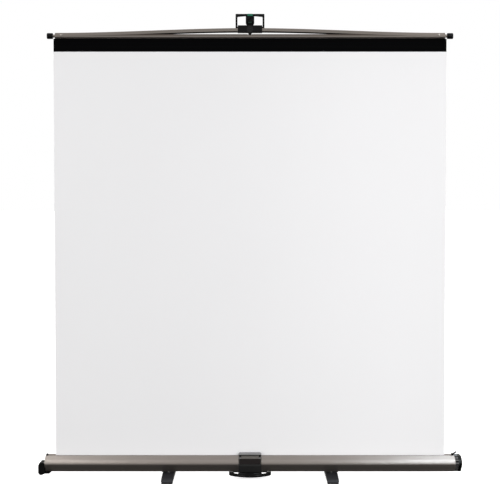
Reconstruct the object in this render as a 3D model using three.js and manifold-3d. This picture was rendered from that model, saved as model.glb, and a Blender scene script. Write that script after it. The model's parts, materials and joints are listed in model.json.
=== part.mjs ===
// A free-standing pull-up projection screen: a metal case with a sprung roller on two swivel feet, a
// three-stage mast behind it, and a bowed hanger that holds the screen fabric on the mast's hook.
// Millimetres, +Z up, the viewer looks along +Y. The origin is on the floor, under the fabric.
import * as THREE from 'three';
import { mergeVertices } from 'three/addons/utils/BufferGeometryUtils.js';
import Module from 'manifold-3d';

const wasm = await Module();
wasm.setup();

// Facets on round shapes, and the steps of swept ones
const tubeSides = 32;
const smallSides = 16;
const cornerSteps = 4;
const bowSteps = 36;
const handleSteps = 26;
const gripSteps = 8;

// Clearances, the overrun of cuts, and how far joined shapes run into each other
const seatGap = 0.3;
const overrun = 2;
const joinDepth = 2;
const leastRadius = 0.2;
const mergeTolerance = 0.0001;

// Screen fabric
const fabricWidth = 1800;
const whiteHeight = 1860;
const bandHeight = 60;
const fabricThickness = 0.6;
const slotEntryDepth = 6;

// Case
const caseOverhang = 44;
const caseHeight = 74.6;
const caseWall = 2;
const caseShoulder = 8;
const caseNose = 44;
const noseLow = 38;
const noseHigh = 54;
const caseBack = 42;
const caseEdgeRadius = 1.6;
const noseRadius = 12;
const caseBackRadius = 8;
const slotFront = 3;
const slotBack = 7;
const portRadius = 4;
const portBore = 1.9;
const portSinkShare = 0.8;

// Case ends
const endPlateThickness = 2;
const endReach = 31;
const collarLength = 15.4;
const collarInset = 1;
const collarWall = 5;
const ribPitch = 16;
const ribDepth = 1.4;
const ribCornerShares = [[0.125, 0], [0.375, 0], [0.625, 1], [0.875, 1]];
const capDome = 5;
const capRingShares = [[0, 1], [0.45, 0.99], [0.8, 0.965], [1, 0.91]];
const shoeFront = 32;
const shoeBack = 34;
const shoeTop = 45;
const shoeShoulder = 15;
const shoeChamferDrop = 21;
const shoeToeDrop = 13.4;
const shoeToeRise = 10;
const shoeToeWidth = 20;
const shoeTongueDrop = 5.4;
const shoeTongueLength = 27;
const shoeTongueBevel = 6;

// Roller
const rollerSetback = 14;
const rollerHeight = 36;
const rollerDiameter = 38;
const rollerWall = 2;
const rollerEndRoom = 28;
const woundThickness = 1.2;
const plugLength = 20;
const plugFlange = 3;
const pinDiameter = 8;
const pinEndClear = 6;
const bearingDiameter = 30;
const bearingLength = 12;
const shaftDiameter = 12;
const shaftLength = 700;
const springWire = 2.2;
const springLength = 480;
const springOffset = 40;

// Feet
const footSpacing = 754;
const footWidth = 55;
const footReach = 128;
const footRise = 28.4;
const footFlatHalf = 30;
const footToeRise = 17.5;
const footToeRun = 10;
const footBevel = 3;
const footPlateThickness = 3;
const footPlateSize = 64;
const footPlateFront = 4;
const padHeight = 7;
const padLength = 34;
const padLip = 2;
const footBoltDiameter = 9;
const footBoltHead = 18;
const footBoltHeadHeight = 6;
const footBoltSink = 4;

// Clamp round the middle of the case
const clampWidth = 106;
const clampSkin = 5;
const coverTopRise = 15.5;
const coverTopRake = 7;
const coverTopTaper = 5;
const coverTopFront = 24;
const coverTopBevel = 3;
const coverLipClear = 3.6;
const coverNotch = 4;
const coverLedgeRise = 5.5;
const coverNotchDrop = 3;
const coverFront = 50;
const coverFaceHigh = 69;
const coverSplit = 42;
const barePlateWidth = 98;
const barePlateHeight = 26;
const barePlateThickness = 1.5;
const strapThickness = 5.5;
const strapFront = 4;
const strapBack = 30;

// Carry handle
const handleWidth = 196;
const handleReach = 55;
const handleDepth = 17;
const handleThickness = 11;
const handleCorner = 16;
const handleElbow = 10;
const handleBow = 28;
const handlePivotBack = 14;
const handleDrop = 13;
const handleEyeRadius = 8;
const gripWidthShare = 0.56;
const gripDepth = 25;
const gripRise = 9;
const gripInset = 1;
const gripRadius = 5;
const trunnionDiameter = 7;
const earThickness = 6;

// Mast
const mastTubeDiameter = 16;
const mastTubeWall = 1.5;
const mastTubeStep = 3.5;
const mastOverlap = 100;
const bushLength = 30;
const socketWall = 4;
const socketHeight = 70;
const socketRadius = 8;
const knobRadius = 18;
const knobThickness = 15;
const knobLobes = 6;
const knobStepsPerLobe = 4;
const knobLobeShare = 0.8;
const knobStandoff = 3;
const knobBevel = 1.5;
const knobStudDiameter = 8;
const knobHeight = 38;
const collarGrip = 20;
const collarRise = 25;
const collarSkin = 5;
const earReach = 13;
const earWidth = 12;
const earHeight = 6;
const leverThickness = 5;
const leverStandoff = 1.2;
const leverHeight = 24;
const leverSweep = 138;
const leverSteps = 14;
const leverPinDiameter = 5;

// Slat at the top of the fabric
const slatHeight = 19;
const slatDepth = 24;
const slatRadius = 6;
const slatWall = 1.8;
const slatInset = 7;
const grooveWidth = 2.4;
const grooveDepth = 6;
const neckLength = 9;
const neckDiameter = 14;
const neckLift = 2;
const neckPlug = 20;
const endCapLength = 27.2;
const endCapDiameter = 27;
const endCapRound = 3.5;

// Bow over the slat
const bowDepth = 29;
const bowThickness = 1.5;
const flangeHeight = 14;
const bowStandoff = 5;
const bowRise = 22;
const bowInset = 2;
const rivetInset = 28;
const rivetDiameter = 6;
const rivetHeadDiameter = 10;
const rivetHeadHeight = 1.5;

// Hanger block and its grip
const blockWidth = 111;
const blockHeight = 31.5;
const blockDrop = 5.5;
const blockFront = 21;
const blockBack = 19;
const blockRadius = 3;
const boltDiameter = 8;
const bossDiameter = 29;
const bossHeight = 1.4;
const bailWidth = 132.4;
const bailHeight = 66;
const bailLeg = 8.7;
const bailGrip = 13;
const bailGripRelief = 3;
const bailFlatHalf = 24;
const bailDepth = 10;
const bailSetback = 8;
const bailOverlap = 11;
const bailCorner = 3;
const bailBevel = 1.2;
const bailStubDiameter = 6;
const bailStubLength = 8;

// Hook head on the mast
const headWidth = 39;
const headFoot = 28;
const headFootRise = 2.8;
const headTaper = 10;
const headBack = 20;
const headStopRise = 7;
const headStopWidth = 24;
const headArmWidth = 20;
const headArmDrop = 8;
const headBossRadius = 14;
const headBossDrop = 14;
const headBossCap = 12;
const headCoverThickness = 3.4;
const latchWidth = 24;
const latchThickness = 3.7;
const latchStem = 16;
const latchStemFoot = 11.6;
const latchPadHeight = 6.5;
const latchPadReach = 3.4;

// Slat latch and slat stop on the case
const latchInset = 6;
const latchLength = 22;
const latchWidthAcross = 10;
const latchPlateThickness = 4.5;
const latchEyeDiameter = 6;
const latchTilt = 32;
const latchPivotRise = 5;
const latchPivotDiameter = 4;
const latchBlockLength = 9;
const latchBlockDepth = 18;
const latchBlockRise = 4;
const stopLength = 8;
const stopHeight = 7;
const stopFront = 7;
const stopBack = 9;

// Places worked out from the sizes
const footTop = footRise;
const caseBottom = footTop + seatGap + footPlateThickness + seatGap;
const caseTop = caseBottom + caseHeight;
const fabricHalf = fabricWidth / 2;
const tubeHalf = fabricHalf + caseOverhang;
const plateOuter = tubeHalf + seatGap + endPlateThickness;
const bandBottom = caseTop + whiteHeight;
const slatBottom = bandBottom + bandHeight;
const slatTop = slatBottom + slatHeight;
const slatMiddle = slatBottom + slatHeight / 2;
const slatHalf = fabricHalf - slatInset;
const bowHalf = slatHalf - bowInset;
const rivetX = bowHalf - rivetInset;
const bowTopAtEnd = slatTop + bowStandoff;
const rivetZ = (slatTop + bowTopAtEnd - flangeHeight) / 2;
const bowTopAtMiddle = bowTopAtEnd + bowRise;
const blockBottom = bowTopAtMiddle - flangeHeight - blockDrop;
const blockTop = blockBottom + blockHeight;
const bailBottom = blockTop - bailOverlap;
const boltZ = bowTopAtMiddle - flangeHeight / 2;
const stubHeight = (bailBottom + blockTop) / 2;
const bailTop = bailBottom + bailHeight;
const headTop = bailTop - bailGrip + bailGripRelief - seatGap;
const headBottom = blockTop + headFootRise;
const latchBottom = blockTop + latchStemFoot;
const coverBottom = latchBottom + latchPadHeight + seatGap;
const latchFront = bailSetback - bailDepth / 2 - seatGap - latchThickness;
const mastRadii = [0, 1, 2].map((step) => mastTubeDiameter / 2 + step * mastTubeStep);
const [topRadius, middleRadius, baseRadius] = mastRadii;
const socketBore = baseRadius + seatGap;
const mastY = caseBack + seatGap + socketWall + socketBore;
const baseTubeBottom = caseBottom;
const topTubeTop = headTop - headStopRise - headBossCap;
const mastSection = (topTubeTop - baseTubeBottom + 2 * mastOverlap) / mastRadii.length;
const baseTubeTop = baseTubeBottom + mastSection;
const middleTubeBottom = baseTubeTop - mastOverlap;
const middleTubeTop = middleTubeBottom + mastSection;
const topTubeBottom = middleTubeTop - mastOverlap;

// Materials
function finish(colour, metalness, roughness) {
  return new THREE.MeshStandardMaterial({ color: colour, metalness, roughness });
}
const satinMetal = finish(0x958f89, 0.9, 0.4);
const brightMetal = finish(0xb9b6b2, 0.9, 0.3);
const darkMetal = finish(0x2b2927, 0.8, 0.4);
const blackPlastic = finish(0x0e0e0f, 0, 0.45);
const charcoalPlastic = finish(0x2a2b2d, 0, 0.6);
const greyPlastic = finish(0x77777a, 0, 0.5);
const footPlastic = finish(0x3a3a3c, 0, 0.55);
const greenPlastic = finish(0x1f7a50, 0, 0.4);
const rubber = finish(0x111111, 0, 0.9);
const whiteFabric = finish(0xebebed, 0, 0.9);
const blackFabric = finish(0x0c0c0d, 0, 0.8);

// Solids: a mesh's geometry as a body that can be cut and joined, and back again
function solid(geometry) {
  const bare = geometry.clone();
  bare.deleteAttribute('normal');
  bare.deleteAttribute('uv');
  const merged = mergeVertices(bare, mergeTolerance);
  return new wasm.Manifold(new wasm.Mesh({
    numProp: 3,
    vertProperties: merged.attributes.position.array,
    triVerts: new Uint32Array(merged.index.array),
  }));
}

function geometryOf(body) {
  const { vertProperties, triVerts } = body.getMesh();
  const geometry = new THREE.BufferGeometry();
  geometry.setAttribute('position', new THREE.BufferAttribute(vertProperties, 3));
  geometry.setIndex(new THREE.BufferAttribute(triVerts, 1));
  return geometry;
}

function cut(geometry, ...tools) {
  return geometryOf(tools.reduce((body, tool) => body.subtract(solid(tool)), solid(geometry)));
}

function join(geometry, ...others) {
  return geometryOf(others.reduce((body, other) => body.add(solid(other)), solid(geometry)));
}

// Outlines: corners are [across, up, radius], listed counter-clockwise
function outline(corners) {
  const points = [];
  corners.forEach(([x, y, radius = 0], i) => {
    const here = new THREE.Vector2(x, y);
    const back = corners[(i + corners.length - 1) % corners.length];
    const next = corners[(i + 1) % corners.length];
    const toBack = new THREE.Vector2(back[0], back[1]).sub(here);
    const toNext = new THREE.Vector2(next[0], next[1]).sub(here);
    const room = Math.min(toBack.length(), toNext.length()) / 2;
    toBack.normalize();
    toNext.normalize();
    const half = Math.acos(THREE.MathUtils.clamp(toBack.dot(toNext), -1, 1)) / 2;
    const run = Math.min(radius / Math.tan(half), room);
    if (run <= 0) {
      points.push(here);
      return;
    }
    const bend = run * Math.tan(half);
    const centre = toBack.clone().add(toNext).normalize().multiplyScalar(run / Math.cos(half)).add(here);
    const from = here.clone().addScaledVector(toBack, run).sub(centre).angle();
    const to = here.clone().addScaledVector(toNext, run).sub(centre).angle();
    const turn = Math.atan2(Math.sin(to - from), Math.cos(to - from));
    for (let step = 0; step <= cornerSteps; step += 1) {
      const angle = from + (turn * step) / cornerSteps;
      points.push(new THREE.Vector2(Math.cos(angle), Math.sin(angle)).multiplyScalar(bend).add(centre));
    }
  });
  return points;
}

// The same corners moved inwards by a distance, or outwards where it is negative
function inset(corners, distance) {
  return corners.map(([x, y, radius = 0], i) => {
    const back = corners[(i + corners.length - 1) % corners.length];
    const next = corners[(i + 1) % corners.length];
    const along = new THREE.Vector2(x - back[0], y - back[1]).normalize();
    const onward = new THREE.Vector2(next[0] - x, next[1] - y).normalize();
    const normal = new THREE.Vector2(-along.y, along.x);
    const normalOn = new THREE.Vector2(-onward.y, onward.x);
    const shift = normal.clone().add(normalOn).multiplyScalar(distance / (1 + normal.dot(normalOn)));
    const turnsLeft = along.cross(onward) > 0;
    const rounded = radius > 0 ? Math.max(radius - (turnsLeft ? distance : -distance), leastRadius) : 0;
    return [x + shift.x, y + shift.y, rounded];
  });
}

// Prisms: an outline across two axes, run along the third
const alongXBasis = new THREE.Matrix4().makeBasis(
  new THREE.Vector3(0, 1, 0), new THREE.Vector3(0, 0, 1), new THREE.Vector3(1, 0, 0),
);
const alongYBasis = new THREE.Matrix4().makeBasis(
  new THREE.Vector3(1, 0, 0), new THREE.Vector3(0, 0, 1), new THREE.Vector3(0, -1, 0),
);

function prism(points, depth, holes = []) {
  const shape = new THREE.Shape(points);
  shape.holes = holes.map((hole) => new THREE.Path(hole));
  return new THREE.ExtrudeGeometry(shape, { depth, bevelEnabled: false });
}

function prismX(points, low, high, holes = []) {
  return prism(points, high - low, holes).applyMatrix4(alongXBasis).translate(low, 0, 0);
}

function prismY(points, low, high) {
  return prism(points, high - low).applyMatrix4(alongYBasis).translate(0, high, 0);
}

function prismZ(points, low, high) {
  return prism(points, high - low).translate(0, 0, low);
}

// A skin over stations along a run, each a place on the run and an outline of as many points
function loft(stations) {
  const count = stations[0][1].length;
  const positions = stations.flatMap(([run, points]) => points.flatMap((point) => [point.x, point.y, run]));
  const indices = [];
  for (let step = 0; step < stations.length - 1; step += 1) {
    for (let i = 0; i < count; i += 1) {
      const a = step * count + i;
      const b = step * count + ((i + 1) % count);
      indices.push(a, b, b + count, a, b + count, a + count);
    }
  }
  const last = (stations.length - 1) * count;
  THREE.ShapeUtils.triangulateShape(stations[0][1], []).forEach(([a, b, c]) => {
    indices.push(a, c, b, last + a, last + b, last + c);
  });
  const geometry = new THREE.BufferGeometry();
  geometry.setAttribute('position', new THREE.Float32BufferAttribute(positions, 3));
  geometry.setIndex(indices);
  return geometry;
}

const loftX = (stations) => loft(stations).applyMatrix4(alongXBasis);

// A prism whose two faces are drawn in by a chamfer
function chamfered(corners, depth, chamfer) {
  const full = outline(corners);
  const drawnIn = outline(inset(corners, chamfer));
  return loft([[0, drawnIn], [chamfer, full], [depth - chamfer, full], [depth, drawnIn]]);
}

function chamferedX(corners, low, high, chamfer) {
  return chamfered(corners, high - low, chamfer).applyMatrix4(alongXBasis).translate(low, 0, 0);
}

function chamferedY(corners, low, high, chamfer) {
  return chamfered(corners, high - low, chamfer).applyMatrix4(alongYBasis).translate(0, high, 0);
}

function block(lowX, highX, lowY, highY, lowZ, highZ) {
  const box = new THREE.BoxGeometry(highX - lowX, highY - lowY, highZ - lowZ);
  return box.translate((lowX + highX) / 2, (lowY + highY) / 2, (lowZ + highZ) / 2);
}

// Turned pieces: a profile of [radius, place along the axis], counter-clockwise
function turned(profile, sides = tubeSides) {
  const points = profile.map(([radius, along]) => new THREE.Vector2(radius, along));
  return new THREE.LatheGeometry(points, sides).rotateX(Math.PI / 2);
}

function rod(radius, low, high, sides = tubeSides) {
  return turned([[0, low], [radius, low], [radius, high], [0, high]], sides);
}

function pipe(outer, inner, low, high, sides = tubeSides) {
  return turned([[inner, low], [outer, low], [outer, high], [inner, high], [inner, low]], sides);
}

const turnToX = (geometry) => geometry.rotateY(Math.PI / 2);
const turnToY = (geometry) => geometry.rotateX(-Math.PI / 2);

// The scene graph
const screen = new THREE.Group();

function group(parent, x, y, z) {
  const made = new THREE.Group();
  made.position.set(x, y, z);
  parent.add(made);
  return made;
}

function add(parent, name, geometry, material) {
  const mesh = new THREE.Mesh(geometry, material);
  mesh.name = name;
  parent.add(mesh);
  return mesh;
}

// The case: an open-topped extrusion with three screw ports
const caseCorners = [
  [-caseShoulder, 0, caseEdgeRadius],
  [caseBack, 0, caseBackRadius],
  [caseBack, caseHeight, caseBackRadius],
  [-caseShoulder, caseHeight, caseEdgeRadius],
  [-caseNose, noseHigh, noseRadius],
  [-caseNose, noseLow, noseRadius],
];

function screwPorts() {
  const sink = caseWall + portRadius * portSinkShare;
  return [
    [-caseNose + sink, (noseLow + noseHigh) / 2],
    [caseBack - sink, sink],
    [caseBack - sink, caseHeight - sink],
  ];
}

function portRods(radius, low, high) {
  return screwPorts().map(([y, z]) => turnToX(rod(radius, low, high, smallSides)).translate(0, y, z));
}

function caseTube() {
  const hollow = [outline(inset(caseCorners, caseWall)).reverse()];
  const shell = prismX(outline(caseCorners), -tubeHalf, tubeHalf, hollow);
  const slot = block(
    -tubeHalf - overrun, tubeHalf + overrun, -slotFront, slotBack,
    caseHeight - caseWall - overrun, caseHeight + overrun,
  );
  const ported = join(shell, ...portRods(portRadius, -tubeHalf, tubeHalf));
  return cut(ported, slot, ...portRods(portBore, -tubeHalf - overrun, tubeHalf + overrun));
}

// A closing plate at one end of the case
function endPlate(low, high) {
  const plate = prismX(outline(caseCorners), low, high);
  return cut(plate, ...portRods(portBore, low - overrun, high + overrun));
}

// The moulded shoe that wraps the left end's lower corner, seen from the front
function endShoe() {
  const inner = -plateOuter - seatGap;
  const outer = -plateOuter - endReach;
  const under = -seatGap;
  const side = [
    [inner, shoeTop], [inner - shoeShoulder, shoeTop], [outer, shoeTop - shoeChamferDrop],
    [outer, -shoeToeDrop + shoeToeRise], [outer + shoeToeRise, -shoeToeDrop],
    [outer + shoeToeWidth, -shoeToeDrop + shoeTongueDrop / 2],
    [inner + seatGap, -shoeTongueDrop], [inner + shoeTongueLength - shoeTongueBevel, -shoeTongueDrop],
    [inner + shoeTongueLength, under], [inner, under],
  ];
  return prismY(outline(side), -shoeFront, shoeBack);
}

// Grip ribs round an outline: each rib is a raised step between two grooves
function ribbed(points) {
  const closed = [...points, points[0]];
  const lengths = closed.slice(1).map((point, i) => point.distanceTo(closed[i]));
  const total = lengths.reduce((sum, length) => sum + length, 0);
  const ribs = Math.round(total / ribPitch);
  const at = (distance) => {
    let left = distance;
    let i = 0;
    while (i < lengths.length - 1 && left > lengths[i]) {
      left -= lengths[i];
      i += 1;
    }
    const along = closed[i + 1].clone().sub(closed[i]).normalize();
    const inward = new THREE.Vector2(-along.y, along.x);
    return { point: closed[i].clone().addScaledVector(along, left), inward };
  };
  const out = [];
  for (let rib = 0; rib < ribs; rib += 1) {
    ribCornerShares.forEach(([pitchShare, depthShare]) => {
      const { point, inward } = at(((rib + pitchShare) * total) / ribs);
      out.push(point.addScaledVector(inward, depthShare * ribDepth));
    });
  }
  return out;
}

function endCollar(low, high) {
  const outer = ribbed(outline(inset(caseCorners, collarInset)));
  return prismX(outer, low, high, [outline(inset(caseCorners, collarInset + collarWall)).reverse()]);
}

// The cap's face is drawn in towards its middle over a few rings
function endCap(low, high) {
  const points = outline(caseCorners);
  const middle = new THREE.Vector2((caseBack - caseNose) / 2, caseHeight / 2);
  const drawn = (share) => points.map((point) => middle.clone().lerp(point, share));
  const ring = ([riseShare, drawShare]) => [high - capDome * (1 - riseShare), drawn(drawShare)];
  return loftX([[low, points], ...capRingShares.map(ring)]);
}

const caseGroup = group(screen, 0, 0, caseBottom);
add(caseGroup, 'case_tube', caseTube(), satinMetal);
add(caseGroup, 'left_end_plate', endPlate(-plateOuter, -tubeHalf - seatGap), satinMetal);
add(caseGroup, 'right_end_plate', endPlate(tubeHalf + seatGap, plateOuter), satinMetal);
add(caseGroup, 'left_end_shoe', endShoe(), blackPlastic);
const collarStart = plateOuter + seatGap;
const collarEnd = collarStart + collarLength;
add(caseGroup, 'right_end_collar', endCollar(collarStart, collarEnd), charcoalPlastic);
const capStart = collarEnd + seatGap;
add(caseGroup, 'right_end_cap', endCap(capStart, plateOuter + endReach), blackPlastic);

// The roller and the sprung shaft that it turns on, with bearings on the end plates' inner faces
const rollerRadius = rollerDiameter / 2;
const rollerHalf = tubeHalf - rollerEndRoom;
const rollerBore = rollerRadius - rollerWall;
const woundInner = rollerRadius + seatGap;
const woundRadius = woundInner + woundThickness;
const bearingFace = tubeHalf - seatGap;
const bearingRadius = bearingDiameter / 2;
const rollerGroup = group(screen, 0, rollerSetback, caseBottom + rollerHeight);
const rollerTube = turnToX(pipe(rollerRadius, rollerBore, -rollerHalf, rollerHalf));
const fabricRoll = turnToX(pipe(woundRadius, woundInner, -fabricHalf, fabricHalf));
add(rollerGroup, 'roller_tube', rollerTube, brightMetal);
add(rollerGroup, 'fabric_roll', fabricRoll, blackFabric);

// A plug's body in the tube, its flange outside, and its pin or bore, from the tube's end inwards
function leftPlug() {
  const flangeFace = -rollerHalf - seatGap;
  const tip = -bearingFace + pinEndClear;
  return turnToX(turned([
    [0, tip], [pinDiameter / 2, tip], [pinDiameter / 2, flangeFace - plugFlange],
    [rollerRadius, flangeFace - plugFlange], [rollerRadius, flangeFace],
    [rollerBore - seatGap, flangeFace], [rollerBore - seatGap, flangeFace + plugLength],
    [0, flangeFace + plugLength],
  ]));
}

function rightPlug() {
  const face = rollerHalf + seatGap;
  const bore = shaftDiameter / 2 + seatGap;
  return turnToX(turned([
    [bore, face - plugLength], [rollerBore - seatGap, face - plugLength], [rollerBore - seatGap, face],
    [rollerRadius, face], [rollerRadius, face + plugFlange], [bore, face + plugFlange],
    [bore, face - plugLength],
  ]));
}

add(rollerGroup, 'roller_left_plug', leftPlug(), blackPlastic);
add(rollerGroup, 'roller_right_plug', rightPlug(), blackPlastic);
add(rollerGroup, 'left_roller_bearing', turnToX(
  pipe(bearingRadius, pinDiameter / 2 + seatGap, -bearingFace, -bearingFace + bearingLength),
), charcoalPlastic);
add(rollerGroup, 'shaft_anchor', turnToX(
  pipe(bearingRadius, shaftDiameter / 2 + seatGap, bearingFace - bearingLength, bearingFace),
), darkMetal);
add(rollerGroup, 'spring_shaft', turnToX(
  rod(shaftDiameter / 2, bearingFace - shaftLength, bearingFace, smallSides),
), brightMetal);
const springEnd = rollerHalf - plugLength - springOffset;
const springBore = shaftDiameter / 2 + seatGap;
add(rollerGroup, 'roller_spring', turnToX(
  pipe(springBore + springWire, springBore, springEnd - springLength, springEnd),
), darkMetal);

// The fabric: from the slat straight down into the slot, then on to the roll's front
function ribbon(path, thickness) {
  const side = (sign) => path.map((point, i) => {
    const back = path[Math.max(i - 1, 0)];
    const next = path[Math.min(i + 1, path.length - 1)];
    const along = next.clone().sub(back).normalize();
    return new THREE.Vector2(-along.y, along.x).multiplyScalar((sign * thickness) / 2).add(point);
  });
  return [...side(1), ...side(-1).reverse()];
}

function fabricPath() {
  const entry = new THREE.Vector2(0, caseTop - slotEntryDepth);
  const centre = new THREE.Vector2(rollerSetback, caseBottom + rollerHeight);
  const reach = woundRadius + seatGap + fabricThickness / 2;
  const toCentre = centre.clone().sub(entry);
  const run = Math.sqrt(toCentre.lengthSq() - reach * reach);
  const turn = -Math.asin(reach / toCentre.length());
  const touch = toCentre.clone().rotateAround(new THREE.Vector2(), turn).setLength(run).add(entry);
  return [new THREE.Vector2(0, bandBottom - seatGap), entry, touch];
}

const screenFabric = prismX(ribbon(fabricPath(), fabricThickness), -fabricHalf, fabricHalf);
add(screen, 'screen_fabric', screenFabric, whiteFabric);

// Feet: a bar on a pivot bolt, with a pad under each toe
const footLowEdge = padHeight + seatGap;

function footBar() {
  const toe = footReach - footToeRun;
  const side = [
    [-footReach, footLowEdge], [footReach, footLowEdge], [toe, footToeRise],
    [footFlatHalf, footRise], [-footFlatHalf, footRise], [-toe, footToeRise],
  ];
  const bar = chamferedX(side, -footWidth / 2, footWidth / 2, footBevel);
  const hole = rod(footBoltDiameter / 2 + seatGap, 0, footRise + overrun, smallSides);
  const sinkTop = footLowEdge + footBoltSink + footBoltHeadHeight;
  const sink = rod(footBoltHead / 2 + seatGap, 0, sinkTop, smallSides);
  return cut(bar, hole, sink);
}

function footPad(sign) {
  const tip = footReach + padLip;
  const low = sign < 0 ? -tip : tip - padLength;
  const half = footWidth / 2 - padLip;
  return block(-half, half, low, low + padLength, 0, padHeight);
}

function footBolt() {
  const headLow = footLowEdge + footBoltSink;
  const headHigh = headLow + footBoltHeadHeight - seatGap;
  const shank = footBoltDiameter / 2;
  const head = footBoltHead / 2;
  return turned([
    [0, headLow], [head, headLow], [head, headHigh], [shank, headHigh],
    [shank, footRise + seatGap + footPlateThickness], [0, footRise + seatGap + footPlateThickness],
  ], smallSides);
}

function footPlate() {
  const half = footPlateSize / 2;
  const low = footTop + seatGap;
  const high = low + footPlateThickness;
  const plate = block(-half, half, -footPlateFront, half, low, high);
  return cut(plate, rod(footBoltDiameter / 2 + seatGap, low - overrun, high + overrun, smallSides));
}

[['left', -footSpacing / 2], ['right', footSpacing / 2]].forEach(([side, x]) => {
  const foot = group(screen, x, 0, 0);
  add(foot, `${side}_foot_bar`, footBar(), footPlastic);
  add(foot, `${side}_front_pad`, footPad(-1), rubber);
  add(foot, `${side}_rear_pad`, footPad(1), rubber);
  add(foot, `${side}_foot_bolt`, footBolt(), brightMetal);
  add(foot, `${side}_foot_plate`, footPlate(), darkMetal);
});

// The clamp: a cover on the case's front, and a base that passes under it to the mast
const clampHalf = clampWidth / 2;
const [clampBottomFront, , , clampTopFront, clampNoseHigh, clampNoseLow] = inset(caseCorners, -seatGap);
const skinNoseLow = inset(caseCorners, -clampSkin)[caseCorners.length - 1];

function clampCover() {
  const top = caseHeight + coverTopRise;
  const ledge = caseHeight + coverLedgeRise;
  const body = [
    [clampNoseLow[0], coverSplit],
    [clampNoseHigh[0], clampNoseHigh[1], clampNoseHigh[2]],
    [clampTopFront[0], clampTopFront[1]],
    [-coverLipClear, caseHeight + seatGap],
    [-coverLipClear, top - coverTopBevel],
    [-coverLipClear - coverTopBevel, top],
    [-coverTopFront + coverTopRake + coverTopBevel, top],
    [-coverTopFront + coverTopRake, top - coverTopBevel],
    [-coverTopFront, ledge + coverNotchDrop],
    [-coverTopFront, ledge],
    [-coverTopFront + coverNotch, ledge],
    [-coverTopFront + coverNotch, ledge - coverNotchDrop],
    [-coverFront, coverFaceHigh],
    [-coverFront, coverSplit],
  ];
  const narrow = clampHalf - coverTopTaper;
  const high = top + overrun;
  const wedge = [[narrow, top], [narrow, high], [clampHalf, high], [clampHalf, ledge + coverNotchDrop]];
  const wedges = [wedge.reverse(), wedge.map(([x, z]) => [-x, z]).reverse()];
  return cut(
    prismX(outline(body), -clampHalf, clampHalf),
    ...wedges.map((corners) => prismY(outline(corners), -coverTopFront - overrun, 0)),
  );
}

function handleEar(low) {
  const eye = [-handleEyeRadius, handleEyeRadius].map((shift) => handlePivotBack + shift);
  const side = [
    [eye[0], -handleDrop, 0], [eye[0], -handleDrop - handleEyeRadius, handleEyeRadius],
    [eye[1], -handleDrop - handleEyeRadius, handleEyeRadius], [eye[1], -strapThickness, 0],
    [eye[0], -strapThickness, 0],
  ];
  return prismX(outline(side), low, low + earThickness);
}

// The handle's arms turn on trunnions that stand out of the ears
const armInner = handleWidth / 2 - handleDepth;
const earOuter = armInner - seatGap;

function clampBase() {
  const socketBack = mastY + socketBore + socketWall;
  const side = [
    [clampNoseLow[0], coverSplit - seatGap],
    [-coverFront, coverSplit - seatGap],
    [-coverFront, skinNoseLow[1]],
    [-caseShoulder - clampSkin, -strapThickness - seatGap],
    [socketBack, -strapThickness - seatGap],
    [socketBack, -seatGap],
    [clampBottomFront[0], -seatGap],
    [clampNoseLow[0], clampNoseLow[1], clampNoseLow[2]],
  ];
  const wrap = prismX(outline(side), -clampHalf, clampHalf);
  const wide = block(-earOuter, earOuter, -strapFront, strapBack, -strapThickness - seatGap, -seatGap);
  const ears = [-earOuter, earOuter - earThickness].map(handleEar);
  const root = earOuter - earThickness / 2;
  const tip = handleWidth / 2;
  const trunnions = [[-tip, -root], [root, tip]].map(([low, high]) => turnToX(
    rod(trunnionDiameter / 2, low, high, smallSides),
  ).translate(0, handlePivotBack, -handleDrop));
  return join(wrap, wide, ...ears, ...trunnions);
}

function barePlate() {
  const low = (coverSplit + coverFaceHigh - barePlateHeight) / 2;
  const half = barePlateWidth / 2;
  const back = -coverFront - seatGap;
  return block(-half, half, back - barePlateThickness, back, low, low + barePlateHeight);
}

add(caseGroup, 'clamp_cover', clampCover(), greyPlastic);
add(caseGroup, 'cover_plate', barePlate(), blackPlastic);
add(caseGroup, 'clamp_base', clampBase(), blackPlastic);

// The middle of the handle's bow, made deeper and taller to hold
function handleGrip(bend) {
  const half = (gripWidthShare * handleWidth) / 2;
  const front = Array.from({ length: gripSteps + 1 }, (_, step) => {
    const x = half * ((2 * step) / gripSteps - 1);
    return [x, handleBow * (x / bend) ** 2 + gripInset - handleReach];
  });
  const back = gripDepth - handleReach;
  const corners = [...front, [half, back, gripRadius], [-half, back, gripRadius]];
  return prismZ(outline(corners), gripInset - handleThickness / 2, handleThickness / 2 + gripRise);
}

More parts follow.
